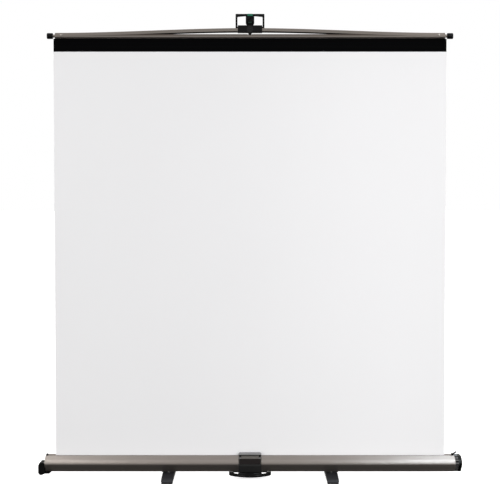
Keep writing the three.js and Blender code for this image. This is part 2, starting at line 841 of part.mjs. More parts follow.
// The carry handle: a bow that lies forward under the case, on two arms
function carryHandle() {
  const arm = handleWidth / 2 - handleDepth / 2;
  const front = -handleReach + handleDepth / 2;
  const bend = arm - handleCorner;
  const bendY = front + handleBow;
  const elbowY = bendY + (2 * handleBow * handleCorner) / bend;
  const armEnd = elbowY + handleElbow;
  const at = (x, y) => new THREE.Vector3(x, y, 0);
  const path = new THREE.CurvePath();
  path.add(new THREE.LineCurve3(at(-arm, handlePivotBack), at(-arm, armEnd)));
  path.add(new THREE.QuadraticBezierCurve3(at(-arm, armEnd), at(-arm, elbowY), at(-bend, bendY)));
  path.add(new THREE.QuadraticBezierCurve3(at(-bend, bendY), at(0, front - handleBow), at(bend, bendY)));
  path.add(new THREE.QuadraticBezierCurve3(at(bend, bendY), at(arm, elbowY), at(arm, armEnd)));
  path.add(new THREE.LineCurve3(at(arm, armEnd), at(arm, handlePivotBack)));
  const half = [handleThickness / 2, handleDepth / 2];
  const section = outline([[-1, -1], [1, -1], [1, 1], [-1, 1]].map(
    ([x, y]) => [x * half[0], y * half[1], half[0] / 2],
  ));
  const bar = new THREE.ExtrudeGeometry(new THREE.Shape(section), {
    steps: handleSteps, bevelEnabled: false, extrudePath: path,
  });
  const eyes = [-handleWidth / 2, armInner].map((low) => turnToX(
    rod(handleEyeRadius, low, low + handleDepth, smallSides),
  ).translate(0, handlePivotBack, 0));
  const hole = turnToX(rod(
    trunnionDiameter / 2 + seatGap, -handleWidth, handleWidth, smallSides,
  )).translate(0, handlePivotBack, 0);
  return cut(join(bar, handleGrip(bend), ...eyes), hole);
}

add(group(caseGroup, 0, 0, -handleDrop), 'carry_handle', carryHandle(), blackPlastic);

// The socket behind the case, and the knob whose stud bears on the base tube
const mast = group(screen, 0, mastY, 0);
const socketHalf = socketBore + socketWall;

function mastSocket() {
  const body = prismZ(outline([
    [-socketHalf, caseBack + seatGap - mastY], [socketHalf, caseBack + seatGap - mastY],
    [socketHalf, socketHalf, socketRadius], [-socketHalf, socketHalf, socketRadius],
  ]), caseBottom, caseBottom + socketHeight);
  const bore = rod(socketBore, caseBottom - overrun, caseBottom + socketHeight + overrun);
  const studHole = turnToY(rod(knobStudDiameter / 2 + seatGap, 0, socketHalf + overrun, smallSides));
  return cut(body, bore, studHole.translate(0, 0, caseBottom + knobHeight));
}

function socketKnob() {
  const points = [];
  const steps = knobLobes * knobStepsPerLobe;
  const swing = (1 - knobLobeShare) / 2;
  for (let step = 0; step < steps; step += 1) {
    const angle = (step / steps) * 2 * Math.PI;
    const radius = knobRadius * (1 - swing + swing * Math.cos(knobLobes * angle));
    points.push([Math.cos(angle) * radius, Math.sin(angle) * radius]);
  }
  const near = socketHalf + knobStandoff;
  const grip = chamferedY(points, near, near + knobThickness, knobBevel);
  const stud = turnToY(rod(knobStudDiameter / 2, socketBore, near + knobThickness / 2, smallSides));
  return join(grip, stud);
}
add(mast, 'mast_socket', mastSocket(), blackPlastic);
add(group(mast, 0, 0, caseBottom + knobHeight), 'socket_knob', socketKnob(), blackPlastic);

// Mast tubes, each with a guide bush where it runs in the next
const boreOf = (radius) => radius - mastTubeWall;
add(mast, 'mast_base_tube', pipe(baseRadius, boreOf(baseRadius), baseTubeBottom, baseTubeTop), darkMetal);
add(mast, 'mast_middle_tube', pipe(
  middleRadius, boreOf(middleRadius), middleTubeBottom, middleTubeTop,
), darkMetal);
add(mast, 'mast_top_tube', pipe(topRadius, boreOf(topRadius), topTubeBottom, topTubeTop), darkMetal);
add(mast, 'middle_bush', pipe(
  boreOf(baseRadius) - seatGap, middleRadius + seatGap, middleTubeBottom, middleTubeBottom + bushLength,
), blackPlastic);
add(mast, 'top_bush', pipe(
  boreOf(middleRadius) - seatGap, topRadius + seatGap, topTubeBottom, topTubeBottom + bushLength,
), blackPlastic);

// A collar on a tube's top end, which the lever squeezes on to the tube inside
function collar(outer, inner) {
  const skin = outer + seatGap + collarSkin;
  const grip = outer + seatGap;
  const guide = inner + seatGap;
  const ring = turned([
    [grip, -collarGrip], [skin, -collarGrip], [skin, collarRise], [guide, collarRise],
    [guide, seatGap], [grip, seatGap], [grip, -collarGrip],
  ]);
  const ears = [-leverHeight / 2 - seatGap - earHeight, leverHeight / 2 + seatGap].map((low) => block(
    skin - collarSkin / 2, skin + earReach, -earWidth / 2, earWidth / 2, low, low + earHeight,
  ));
  const hole = rod(leverPinDiameter / 2 + seatGap, -collarGrip - overrun, collarRise + overrun, smallSides);
  return cut(join(ring, ...ears), hole.translate(pinOffset(outer), 0, 0));
}

function pinOffset(outer) {
  return outer + seatGap + collarSkin + earReach / 2;
}

// The lever lies round the back of its collar, from its pin
function clampLever(outer) {
  const inner = outer + seatGap + collarSkin + leverStandoff;
  const arc = (radius) => Array.from({ length: leverSteps + 1 }, (_, step) => {
    const angle = THREE.MathUtils.degToRad((leverSweep * step) / leverSteps);
    return new THREE.Vector2(Math.cos(angle), Math.sin(angle)).multiplyScalar(radius);
  });
  const strip = [...arc(inner + leverThickness), ...arc(inner).reverse()];
  const half = leverHeight / 2;
  const eye = rod(earWidth / 2 - seatGap, -half, half, smallSides).translate(pinOffset(outer), 0, 0);
  const hole = rod(leverPinDiameter / 2 + seatGap, -leverHeight, leverHeight, smallSides);
  return cut(join(prismZ(strip, -half, half), eye), hole.translate(pinOffset(outer), 0, 0));
}

function clampPin(outer) {
  const half = leverHeight / 2 + seatGap + earHeight;
  return rod(leverPinDiameter / 2, -half, half, smallSides).translate(pinOffset(outer), 0, 0);
}

function mastClamp(stage, outer, inner, height) {
  const place = group(mast, 0, 0, height);
  add(place, `${stage}_collar`, collar(outer, inner), blackPlastic);
  add(place, `${stage}_clamp_lever`, clampLever(outer), charcoalPlastic);
  add(place, `${stage}_clamp_pin`, clampPin(outer), brightMetal);
}
mastClamp('lower', baseRadius, middleRadius, baseTubeTop);
mastClamp('upper', middleRadius, topRadius, middleTubeTop);

// The slat: a hollow bar with a groove for the fabric and a turned neck plugged into each end
function slat() {
  const corners = [
    [-slatDepth / 2, slatBottom, slatRadius], [slatDepth / 2, slatBottom, slatRadius],
    [slatDepth / 2, slatTop, slatRadius], [-slatDepth / 2, slatTop, slatRadius],
  ];
  const hollow = [outline(inset(corners, slatWall)).reverse()];
  const bar = prismX(outline(corners), -slatHalf, slatHalf, hollow);
  const inner = slatHalf - neckPlug;
  const tip = slatHalf + neckLength;
  const necks = [[-tip, -inner], [inner, tip]].map(([low, high]) => turnToX(
    rod(neckDiameter / 2, low, high, smallSides),
  ).translate(0, 0, slatMiddle + neckLift));
  const groove = block(
    -slatHalf - overrun, slatHalf + overrun, -grooveWidth / 2, grooveWidth / 2,
    slatBottom - overrun, slatBottom + grooveDepth,
  );
  return cut(join(bar, ...necks), groove, ...rivetHoles());
}

function slatCap(sign) {
  const near = slatHalf + neckLength + seatGap;
  const far = near + endCapLength;
  const radius = endCapDiameter / 2;
  const inner = radius - endCapRound;
  const profile = [[0, near], [inner, near], [radius, near + endCapRound], [radius, far - endCapRound],
    [inner, far], [0, far]];
  const cap = turnToX(turned(profile)).translate(0, 0, slatMiddle + neckLift);
  return sign < 0 ? cap.rotateZ(Math.PI) : cap;
}

// The bow: an inverted channel that sits over the slat's ends and rises to the middle
function bowLift(x) {
  const run = 1 - Math.abs(x) / bowHalf;
  return bowRise * run * run * (3 - 2 * run);
}

function bow() {
  const outer = bowDepth / 2;
  const inner = outer - bowThickness;
  const low = -flangeHeight;
  const section = [[-outer, low], [-inner, low], [-inner, -bowThickness], [inner, -bowThickness],
    [inner, low], [outer, low], [outer, 0], [-outer, 0]];
  const stations = Array.from({ length: bowSteps + 1 }, (_, step) => {
    const x = -bowHalf + (2 * bowHalf * step) / bowSteps;
    const top = bowTopAtEnd + bowLift(x);
    return [x, section.map(([y, z]) => new THREE.Vector2(y, top + z))];
  });
  return cut(loftX(stations), ...rivetHoles(), boltHole());
}

// Rivets hold the bow's ends on the slat
function rivetHoles() {
  const half = bowDepth + overrun;
  return [-rivetX, rivetX].map((x) => turnToY(
    rod(rivetDiameter / 2 + seatGap, -half, half, smallSides),
  ).translate(x, 0, rivetZ));
}

function rivet() {
  const near = bowDepth / 2 + seatGap;
  const far = near + rivetHeadHeight;
  const head = rivetHeadDiameter / 2;
  const shank = rivetDiameter / 2;
  return turnToY(turned([
    [0, -far], [head, -far], [head, -near], [shank, -near],
    [shank, near], [head, near], [head, far], [0, far],
  ], smallSides));
}

// The fabric's black band hangs in the slat's groove
function fabricBand() {
  const low = bandBottom;
  const wide = slatBottom - seatGap;
  const tongue = slatHalf - seatGap;
  const side = [
    [-fabricHalf, low], [fabricHalf, low], [fabricHalf, wide], [tongue, wide],
    [tongue, slatBottom + grooveDepth - seatGap], [-tongue, slatBottom + grooveDepth - seatGap],
    [-tongue, wide], [-fabricHalf, wide],
  ];
  return prismY(outline(side), -fabricThickness / 2, fabricThickness / 2);
}

add(screen, 'slat', slat(), satinMetal);
add(screen, 'left_slat_cap', slatCap(-1), blackPlastic);
add(screen, 'right_slat_cap', slatCap(1), blackPlastic);
add(screen, 'bow', bow(), satinMetal);
add(group(screen, -rivetX, 0, rivetZ), 'left_bow_rivet', rivet(), satinMetal);
add(group(screen, rivetX, 0, rivetZ), 'right_bow_rivet', rivet(), satinMetal);
add(screen, 'fabric_band', fabricBand(), blackFabric);

// The hanger block round the bow's middle, and the bolt through both
function boltHole() {
  return turnToY(rod(
    boltDiameter / 2 + seatGap, -blockFront - overrun, blockBack + overrun, smallSides,
  )).translate(0, 0, boltZ);
}

function hangerBlock() {
  const half = blockWidth / 2;
  const body = prismX(outline([
    [-blockFront, blockBottom, blockRadius], [blockBack, blockBottom, blockRadius],
    [blockBack, blockTop, blockRadius], [-blockFront, blockTop, blockRadius],
  ]), -half, half);
  const across = bowDepth / 2 + seatGap;
  const sag = bowRise - bowLift(half);
  const tunnel = block(
    -half - overrun, half + overrun, -across, across,
    bowTopAtMiddle - flangeHeight - seatGap - sag, bowTopAtMiddle + seatGap,
  );
  const stub = bailStubDiameter / 2 + seatGap;
  const stubHoles = [-1, 1].map((sign) => turnToX(rod(stub, -bailStubLength, bailStubLength, smallSides))
    .translate(sign * half, bailSetback, stubHeight));
  return cut(body, tunnel, boltHole(), ...stubHoles);
}

function hangerBolt() {
  const front = -blockFront - seatGap;
  const shank = boltDiameter / 2;
  const boss = bossDiameter / 2;
  return turnToY(turned([
    [0, front - bossHeight], [boss, front - bossHeight], [boss, front], [shank, front],
    [shank, blockBack - seatGap], [0, blockBack - seatGap],
  ])).translate(0, 0, boltZ);
}

// The bail: a squared grip whose legs snap into the block's ends
function bail() {
  const outer = bailWidth / 2;
  const inner = outer - bailLeg;
  const under = bailTop - bailGrip;
  const side = [
    [-outer, bailBottom], [-inner, bailBottom], [-inner, under, bailCorner],
    [-bailFlatHalf, under + bailGripRelief], [bailFlatHalf, under + bailGripRelief],
    [inner, under, bailCorner], [inner, bailBottom], [outer, bailBottom],
    [outer, bailTop, bailCorner], [-outer, bailTop, bailCorner],
  ];
  const frame = chamferedY(side, bailSetback - bailDepth / 2, bailSetback + bailDepth / 2, bailBevel);
  const stubs = [-1, 1].map((sign) => {
    const low = sign < 0 ? -inner - bailLeg / 2 : blockWidth / 2 - bailStubLength + seatGap;
    const high = sign < 0 ? -blockWidth / 2 + bailStubLength - seatGap : inner + bailLeg / 2;
    return turnToX(rod(bailStubDiameter / 2, low, high, smallSides)).translate(0, bailSetback, stubHeight);
  });
  return join(frame, ...stubs);
}

add(screen, 'hanger_block', hangerBlock(), charcoalPlastic);
add(screen, 'hanger_bolt', hangerBolt(), charcoalPlastic);
add(screen, 'bail', bail(), blackPlastic);

// The hook head: a ledge for the grip, a stop behind it and an arm back to the mast
const ledgeFront = latchFront - seatGap;
const channelBack = latchFront + latchThickness + seatGap;

function hookHead() {
  const half = headWidth / 2;
  const foot = headFoot / 2;
  const face = prismY(outline([
    [-half, headTop], [-half, headBottom + headTaper], [-foot, headBottom], [foot, headBottom],
    [half, headBottom + headTaper], [half, headTop],
  ]), ledgeFront, headBack);
  const stop = block(
    -headStopWidth / 2, headStopWidth / 2, bailSetback + bailDepth / 2 + seatGap, headBack,
    headBottom + headTaper, headTop + headStopRise,
  );
  const bossTop = topTubeTop + headBossCap;
  const bossBottom = headBottom - headBossDrop;
  const arm = prismX(outline([
    [headBack - joinDepth, headBottom], [mastY - headBossRadius, bossBottom + headArmDrop],
    [mastY, bossBottom + headArmDrop], [mastY, bossTop], [mastY - headBossRadius, bossTop],
    [headBack - joinDepth, headTop],
  ]), -headArmWidth / 2, headArmWidth / 2);
  const boss = rod(headBossRadius, bossBottom, bossTop).translate(0, mastY, 0);
  const bore = rod(topRadius + seatGap, bossBottom - overrun, topTubeTop + seatGap).translate(0, mastY, 0);
  const slide = latchWidth / 2 + seatGap;
  const channel = block(
    -slide, slide, ledgeFront - overrun, channelBack, headBottom - overrun, headTop + overrun,
  );
  return cut(join(face, stop, arm, boss), bore, channel);
}

function headCover() {
  const half = headWidth / 2;
  return block(
    -half, half, ledgeFront - seatGap - headCoverThickness, ledgeFront - seatGap,
    coverBottom, headTop,
  );
}

// The green latch: a lip before the grip, a stem in the head's channel and a thumb pad below the cover
function hookLatch() {
  const back = latchFront + latchThickness;
  const lip = latchWidth / 2;
  const stem = latchStem / 2;
  const tongueBottom = (headTop + coverBottom) / 2;
  const plate = prismY(outline([
    [-stem, latchBottom], [stem, latchBottom], [stem, tongueBottom], [lip, tongueBottom],
    [lip, bailTop], [-lip, bailTop], [-lip, tongueBottom], [-stem, tongueBottom],
  ]), latchFront, back);
  const pad = block(
    -stem, stem, latchFront - latchPadReach, latchFront + latchThickness / 2,
    latchBottom, latchBottom + latchPadHeight,
  );
  return join(plate, pad);
}

add(screen, 'hook_head', hookHead(), blackPlastic);
add(screen, 'head_cover', headCover(), blackPlastic);
add(screen, 'hook_latch', hookLatch(), greenPlastic);

// The latch that holds the slat down on the closed case, and the stop at the other end
const latchPivotX = tubeHalf - latchInset;
const latchZ = caseTop + latchPivotRise;

function latchBracket() {
  const half = latchBlockLength / 2;
  const deep = latchBlockDepth / 2;
  const body = block(-half, half, -deep, deep, seatGap - latchPivotRise, latchBlockRise);
  const gap = latchWidthAcross / 2 + seatGap;
  const floor = -latchEyeDiameter / 2 - seatGap;
  const fork = block(-half - overrun, half + overrun, -gap, gap, floor, latchBlockRise + overrun);
  return join(cut(body, fork), turnToY(rod(latchPivotDiameter / 2, -deep, deep, smallSides)));
}

function slatLatch() {
  const half = latchWidthAcross / 2;
  const thick = latchPlateThickness / 2;
  const eye = turnToY(rod(latchEyeDiameter / 2, -half, half, smallSides));
  const plate = block(0, latchLength, -half, half, -thick, thick);
  const hole = turnToY(rod(latchPivotDiameter / 2 + seatGap, -latchLength, latchLength, smallSides));
  return cut(join(eye, plate), hole).rotateY(-THREE.MathUtils.degToRad(latchTilt));
}

function slatStop() {
  const low = -tubeHalf;
  const high = low + stopLength;
  return block(low, high, -stopFront, stopBack, caseTop + seatGap, caseTop + stopHeight);
}

const latchGroup = group(screen, latchPivotX, 0, latchZ);
add(latchGroup, 'latch_bracket', latchBracket(), blackPlastic);
add(latchGroup, 'slat_latch', slatLatch(), charcoalPlastic);
add(screen, 'slat_stop', slatStop(), charcoalPlastic);

export default screen;
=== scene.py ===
# A free-standing pull-up projection screen, dressed piece by piece over its frame.
# Metres, +Z up. The viewer looks along +Y.
import json
from math import asin, atan2, cos, pi, radians, sin, sqrt, tan

import bmesh
import bpy
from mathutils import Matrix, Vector

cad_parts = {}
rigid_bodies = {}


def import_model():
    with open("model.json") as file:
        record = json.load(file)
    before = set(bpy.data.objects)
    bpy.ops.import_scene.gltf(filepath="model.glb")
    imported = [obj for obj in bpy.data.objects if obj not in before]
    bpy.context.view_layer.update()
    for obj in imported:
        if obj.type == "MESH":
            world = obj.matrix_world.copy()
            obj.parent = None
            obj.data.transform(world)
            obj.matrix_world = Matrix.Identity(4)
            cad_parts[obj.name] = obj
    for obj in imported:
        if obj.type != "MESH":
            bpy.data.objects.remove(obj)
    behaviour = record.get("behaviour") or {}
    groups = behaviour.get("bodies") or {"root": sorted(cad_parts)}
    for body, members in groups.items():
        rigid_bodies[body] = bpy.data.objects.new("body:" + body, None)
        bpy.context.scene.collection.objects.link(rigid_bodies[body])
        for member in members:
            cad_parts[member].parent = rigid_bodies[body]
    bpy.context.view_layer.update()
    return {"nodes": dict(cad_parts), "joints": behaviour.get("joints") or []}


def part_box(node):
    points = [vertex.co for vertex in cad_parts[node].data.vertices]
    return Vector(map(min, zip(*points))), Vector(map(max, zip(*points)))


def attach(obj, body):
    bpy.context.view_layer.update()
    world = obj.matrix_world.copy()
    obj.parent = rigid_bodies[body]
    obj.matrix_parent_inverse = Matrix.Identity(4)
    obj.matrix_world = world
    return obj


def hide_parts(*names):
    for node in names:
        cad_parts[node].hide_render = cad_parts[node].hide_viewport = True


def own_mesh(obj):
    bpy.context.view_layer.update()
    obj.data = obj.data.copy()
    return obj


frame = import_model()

mm = 0.001
xAxis, yAxis, zAxis = Vector((1, 0, 0)), Vector((0, 1, 0)), Vector((0, 0, 1))
seatGap = 0.3 * mm       # between pieces that touch
near = 0.05 * mm         # how close counts as the same place
overrun = 2 * mm         # how far a cutting shape stands past what it cuts
roundSides = 64
smallSides = 32


# Starting and finishing a piece

def deselectAll():
    if bpy.context.object and bpy.context.object.mode != "OBJECT":
        bpy.ops.object.mode_set(mode="OBJECT")
    bpy.ops.object.select_all(action="DESELECT")


def activate(piece):
    deselectAll()
    bpy.context.view_layer.objects.active = piece
    piece.select_set(True)


def settle(name):
    piece = bpy.context.object
    piece.name = name
    piece.data.name = name
    bpy.ops.object.transform_apply(location=True, rotation=True, scale=True)
    return piece


def addBox(name, low, high):
    deselectAll()
    low, high = Vector(low), Vector(high)
    bpy.ops.mesh.primitive_cube_add(size=1, location=(low + high) / 2, scale=high - low)
    return settle(name)


def addRod(name, radius, start, end, sides=smallSides):
    deselectAll()
    start, end = Vector(start), Vector(end)
    bpy.ops.mesh.primitive_cylinder_add(
        vertices=sides, radius=radius, depth=(end - start).length,
        location=(start + end) / 2, rotation=(end - start).to_track_quat("Z", "Y").to_euler(),
    )
    return settle(name)


# A line drawn point by point, left selected in edit mode
def drawLine(name, points):
    deselectAll()
    bpy.ops.mesh.primitive_plane_add(size=mm, location=points[0])
    piece = settle(name)
    bpy.ops.object.mode_set(mode="EDIT")
    bpy.ops.mesh.select_mode(type="VERT")
    bpy.ops.mesh.select_all(action="SELECT")
    bpy.ops.mesh.merge(type="CENTER")
    for here, onward in zip(points, points[1:]):
        bpy.ops.mesh.extrude_region_move(TRANSFORM_OT_translate={"value": onward - here})
    bpy.ops.mesh.select_all(action="SELECT")
    return piece


def push(along):
    bpy.ops.mesh.extrude_region_move(TRANSFORM_OT_translate={"value": along})


def closeUp(piece):
    activate(piece)
    bpy.ops.object.mode_set(mode="EDIT")
    bpy.ops.mesh.select_all(action="SELECT")
    bpy.ops.mesh.remove_doubles(threshold=mm / 1000)
    bpy.ops.mesh.normals_make_consistent(inside=False)
    bpy.ops.object.mode_set(mode="OBJECT")
    return piece


def addPrism(name, points, along):
    piece = drawLine(name, points)
    bpy.ops.mesh.edge_face_add()
    push(along)
    return closeUp(piece)


# A profile of (radius, place along the axis), spun round
def addTurned(name, profile, centre, axis, steps=roundSides):
    centre = Vector(centre)
    side = zAxis if abs(axis.z) < 0.5 else xAxis
    piece = drawLine(name, [centre + side * radius + axis * along for radius, along in profile])
    bpy.ops.mesh.spin(steps=steps, angle=2 * pi, center=centre, axis=axis)
    return closeUp(piece)


def addTube(name, outer, inner, low, high, rim=0.3 * mm):
    length = high - low
    profile = [
        (inner + rim, 0), (outer - rim, 0), (outer, rim), (outer, length - rim),
        (outer - rim, length), (inner + rim, length), (inner, length - rim), (inner, rim), (inner + rim, 0),
    ]
    return addTurned(name, profile, (0, mastLine, low), zAxis)


# Edges or faces chosen by their place and their direction or normal
def pick(piece, what, test):
    activate(piece)
    bpy.ops.object.mode_set(mode="EDIT")
    bpy.ops.mesh.select_mode(type=what)
    bpy.ops.mesh.select_all(action="DESELECT")
    cage = bmesh.from_edit_mesh(piece.data)
    if what == "FACE":
        for face in cage.faces:
            if test(face.calc_center_median(), face.normal):
                face.select_set(True)
    else:
        for edge in cage.edges:
            start, end = (vertex.co for vertex in edge.verts)
            if test((start + end) / 2, (end - start).normalized()):
                edge.select_set(True)
    cage.select_flush_mode()
    bmesh.update_edit_mesh(piece.data)


def leave():
    bpy.ops.object.mode_set(mode="OBJECT")


def bevelEdges(piece, test, width, segments=3, profile=0.5):
    pick(piece, "EDGE", test)
    bpy.ops.mesh.bevel(offset=width, segments=segments, profile=profile, affect="EDGES", clamp_overlap=True)
    leave()


def deleteFaces(piece, test):
    pick(piece, "FACE", test)
    bpy.ops.mesh.delete(type="FACE")
    leave()


def splitAcross(piece, place, normal):
    activate(piece)
    bpy.ops.object.mode_set(mode="EDIT")
    bpy.ops.mesh.select_all(action="SELECT")
    bpy.ops.mesh.bisect(plane_co=place, plane_no=normal)
    leave()


# Faces chosen by place and normal, given a finish of their own
def facePaint(piece, material, wanted):
    piece.data.materials.append(material)
    pick(piece, "FACE", wanted)
    piece.active_material_index = len(piece.data.materials) - 1
    bpy.ops.object.material_slot_assign()
    leave()


# Faces pushed in inside a border, or out where the depth is negative
def sinkFaces(piece, test, border, depth, normal):
    pick(piece, "FACE", test)
    bpy.ops.mesh.inset(thickness=border, use_even_offset=True)
    push(-normal * depth)
    leave()


def alongLine(point, axis):
    def test(middle, direction):
        away = middle - point
        return abs(direction.dot(axis)) > 0.999 and (away - away.dot(axis) * axis).length < near
    return test


def roundSection(piece, axis, points, radii, segments=6):
    for point, radius in zip(points, radii):
        if radius:
            bevelEdges(piece, alongLine(point, axis), radius, segments)


def softenEnds(piece, axis, width, segments=2):
    along = [vertex.co.dot(axis) for vertex in piece.data.vertices]
    ends = min(along), max(along)

    def test(middle, direction):
        return abs(direction.dot(axis)) < 0.01 and min(abs(middle.dot(axis) - end) for end in ends) < near
    bevelEdges(piece, test, width, segments)


def applyModifier(piece, kind, **settings):
    activate(piece)
    modifier = piece.modifiers.new(kind.title(), kind)
    for setting, value in settings.items():
        setattr(modifier, setting, value)
    bpy.ops.object.modifier_apply(modifier=modifier.name)


def soften(piece, width, segments=2, sharperThan=30):
    applyModifier(piece, "BEVEL", width=width, segments=segments, limit_method="ANGLE",
                  angle_limit=radians(sharperThan))
    return piece


def combine(piece, operation, others):
    for other in others:
        applyModifier(piece, "BOOLEAN", operation=operation, solver="EXACT", object=other)
        bpy.data.meshes.remove(other.data)
    return piece


def cutAway(piece, *others):
    return combine(piece, "DIFFERENCE", others)


def weld(piece, *others):
    return combine(piece, "UNION", others)


def gather(piece, *others):
    activate(piece)
    for other in others:
        other.select_set(True)
    bpy.ops.object.join()
    return piece


def finishPiece(piece, body, slotName, *nodes, angle=32):
    activate(piece)
    bpy.ops.object.shade_smooth_by_angle(angle=radians(angle))
    applyModifier(piece, "WEIGHTED_NORMAL", keep_sharp=True)
    if not piece.data.materials:
        piece.data.materials.append(finishes[slotName])
    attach(piece, body)
    if nodes:
        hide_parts(*nodes)
    return piece


# Points of a rounded outline, from its corners and their radii
def roundedOutline(corners, radii, steps=6):
    points = []
    for i, (here, radius) in enumerate(zip(corners, radii)):
        toBack = (corners[i - 1] - here).normalized()
        toNext = (corners[(i + 1) % len(corners)] - here).normalized()
        half = toBack.angle(toNext) / 2
        centre = here + (toBack + toNext).normalized() * (radius / sin(half))
        start = (here + toBack * (radius / tan(half)) - centre).normalized()
        end = (here + toNext * (radius / tan(half)) - centre).normalized()
        points += [centre + start.slerp(end, step / steps) * radius for step in range(steps + 1)]
    return points


# Finishes

# Clears the owner's nodes and gives a function that adds and links new ones
def nodesOf(owner):
    owner.use_nodes = True
    tree = owner.node_tree
    tree.nodes.clear()

    def add(kind, inputs, **settings):
        node = tree.nodes.new("ShaderNode" + kind)
        for setting, value in settings.items():
            setattr(node, setting, value)
        for socket, value in inputs.items():
            if isinstance(value, bpy.types.NodeSocket):
                tree.links.new(value, node.inputs[socket])
            else:
                node.inputs[socket].default_value = value
        return node
    return add


def newMaterial(name):
    material = bpy.data.materials.new(name)
    return material, nodesOf(material)


# Noise on the piece's own coordinates, stretched by its scale along each axis
def noiseOn(add, scale, detail=3.0, stretch=(1, 1, 1)):
    place = add("TexCoord", {}).outputs["Object"]
    spread = add("Mapping", {"Vector": place, "Scale": stretch})
    noise = add("TexNoise", {"Vector": spread.outputs["Vector"], "Scale": scale, "Detail": detail})
    return noise.outputs["Fac"]


def ranged(add, value, low, high):
    return add("MapRange", {"Value": value, "To Min": low, "To Max": high}).outputs["Result"]


def tinted(add, value, dark, light):
    mix = add("Mix", {"Factor": value}, data_type="RGBA")
    mix.inputs["A"].default_value = (*dark, 1)
    mix.inputs["B"].default_value = (*light, 1)
    return mix.outputs["Result"]


def shaded(tone, share):
    return tuple(channel * share for channel in tone)


def surface(add, inputs):
    shader = add("BsdfPrincipled", inputs)
    add("OutputMaterial", {"Surface": shader.outputs["BSDF"]})


def bumped(add, height, strength, distance):
    return add("Bump", {"Height": height, "Strength": strength, "Distance": distance}).outputs["Normal"]


extrudedMetal = {
    "grainScale": 900, "grainStretch": (0.012, 1, 1), "grainDepth": 0.03 * mm,
    "roughness": (0.34, 0.4), "toneSpread": 0.92, "drawn": 0.9,
}
slatGrain = {**extrudedMetal, "roughness": (0.3, 0.38), "drawn": 0.5}
platedMetal = {
    "grainScale": 400, "grainStretch": (1, 1, 1), "grainDepth": 0.02 * mm,
    "roughness": (0.2, 0.34), "toneSpread": 0.85, "drawn": 0.0,
}


def metalFinish(name, tone, spec=extrudedMetal):
    material, add = newMaterial(name)
    grain = noiseOn(add, spec["grainScale"], 4, spec["grainStretch"])
    cloud = noiseOn(add, 6, 2)
    across = add("Tangent", {}, direction_type="RADIAL", axis="X").outputs["Tangent"]
    surface(add, {
        "Base Color": tinted(add, cloud, shaded(tone, spec["toneSpread"]), tone), "Metallic": 1.0,
        "Roughness": ranged(add, grain, *spec["roughness"]),
        "Normal": bumped(add, grain, 0.25, spec["grainDepth"]),
        "Anisotropic": spec["drawn"], "Tangent": across,
    })
    return material


paintedMetal = {"peelScale": 700, "peelDepth": 0.05 * mm, "roughness": (0.34, 0.46)}


def paintFinish(name, tone, spec=paintedMetal):
    material, add = newMaterial(name)
    peel = noiseOn(add, spec["peelScale"], 2)
    wear = noiseOn(add, 30, 4)
    surface(add, {
        "Base Color": tinted(add, wear, shaded(tone, 0.85), shaded(tone, 1.15)), "Metallic": 0.35,
        "Roughness": ranged(add, wear, *spec["roughness"]),
        "Normal": bumped(add, peel, 0.3, spec["peelDepth"]),
    })
    return material


mouldedGrain = {"grainScale": 1800, "grainDepth": 0.08 * mm, "patchScale": 14}


def plasticFinish(name, tone, roughness, strength=0.35, gloss=0.5, spec=mouldedGrain):
    material, add = newMaterial(name)
    grain = noiseOn(add, spec["grainScale"], 2)
    patch = noiseOn(add, spec["patchScale"], 3)
    surface(add, {
        "Base Color": tinted(add, patch, shaded(tone, 0.85), shaded(tone, 1.15)),
        "Roughness": ranged(add, patch, roughness - 0.05, roughness + 0.05),
        "Specular IOR Level": gloss, "Normal": bumped(add, grain, strength, spec["grainDepth"]),
    })
    return material


weave = {"pitch": 0.9 * mm, "depth": 0.06 * mm}


# A coated cloth: two crossing waves for the threads, under a matt coat
def clothFinish(name, tone, roughness, sheen, gloss=0.25, spec=weave):
    material, add = newMaterial(name)
    place = add("TexCoord", {}).outputs["Object"]
    bands = [add("TexWave", {"Vector": place, "Scale": 2 / spec["pitch"] / 10, "Distortion": 0.4},
                 bands_direction=direction, wave_type="BANDS").outputs["Fac"] for direction in "XZ"]
    threads = add("Math", {0: bands[0], 1: bands[1]}, operation="ADD").outputs["Value"]
    cloud = noiseOn(add, 2.5, 3, (1, 1, 0.6))
    surface(add, {
        "Base Color": tinted(add, cloud, shaded(tone, 0.975), tone), "Roughness": roughness,
        "Specular IOR Level": gloss, "Sheen Weight": sheen,
        "Normal": bumped(add, threads, 0.2, spec["depth"]),
    })
    return material


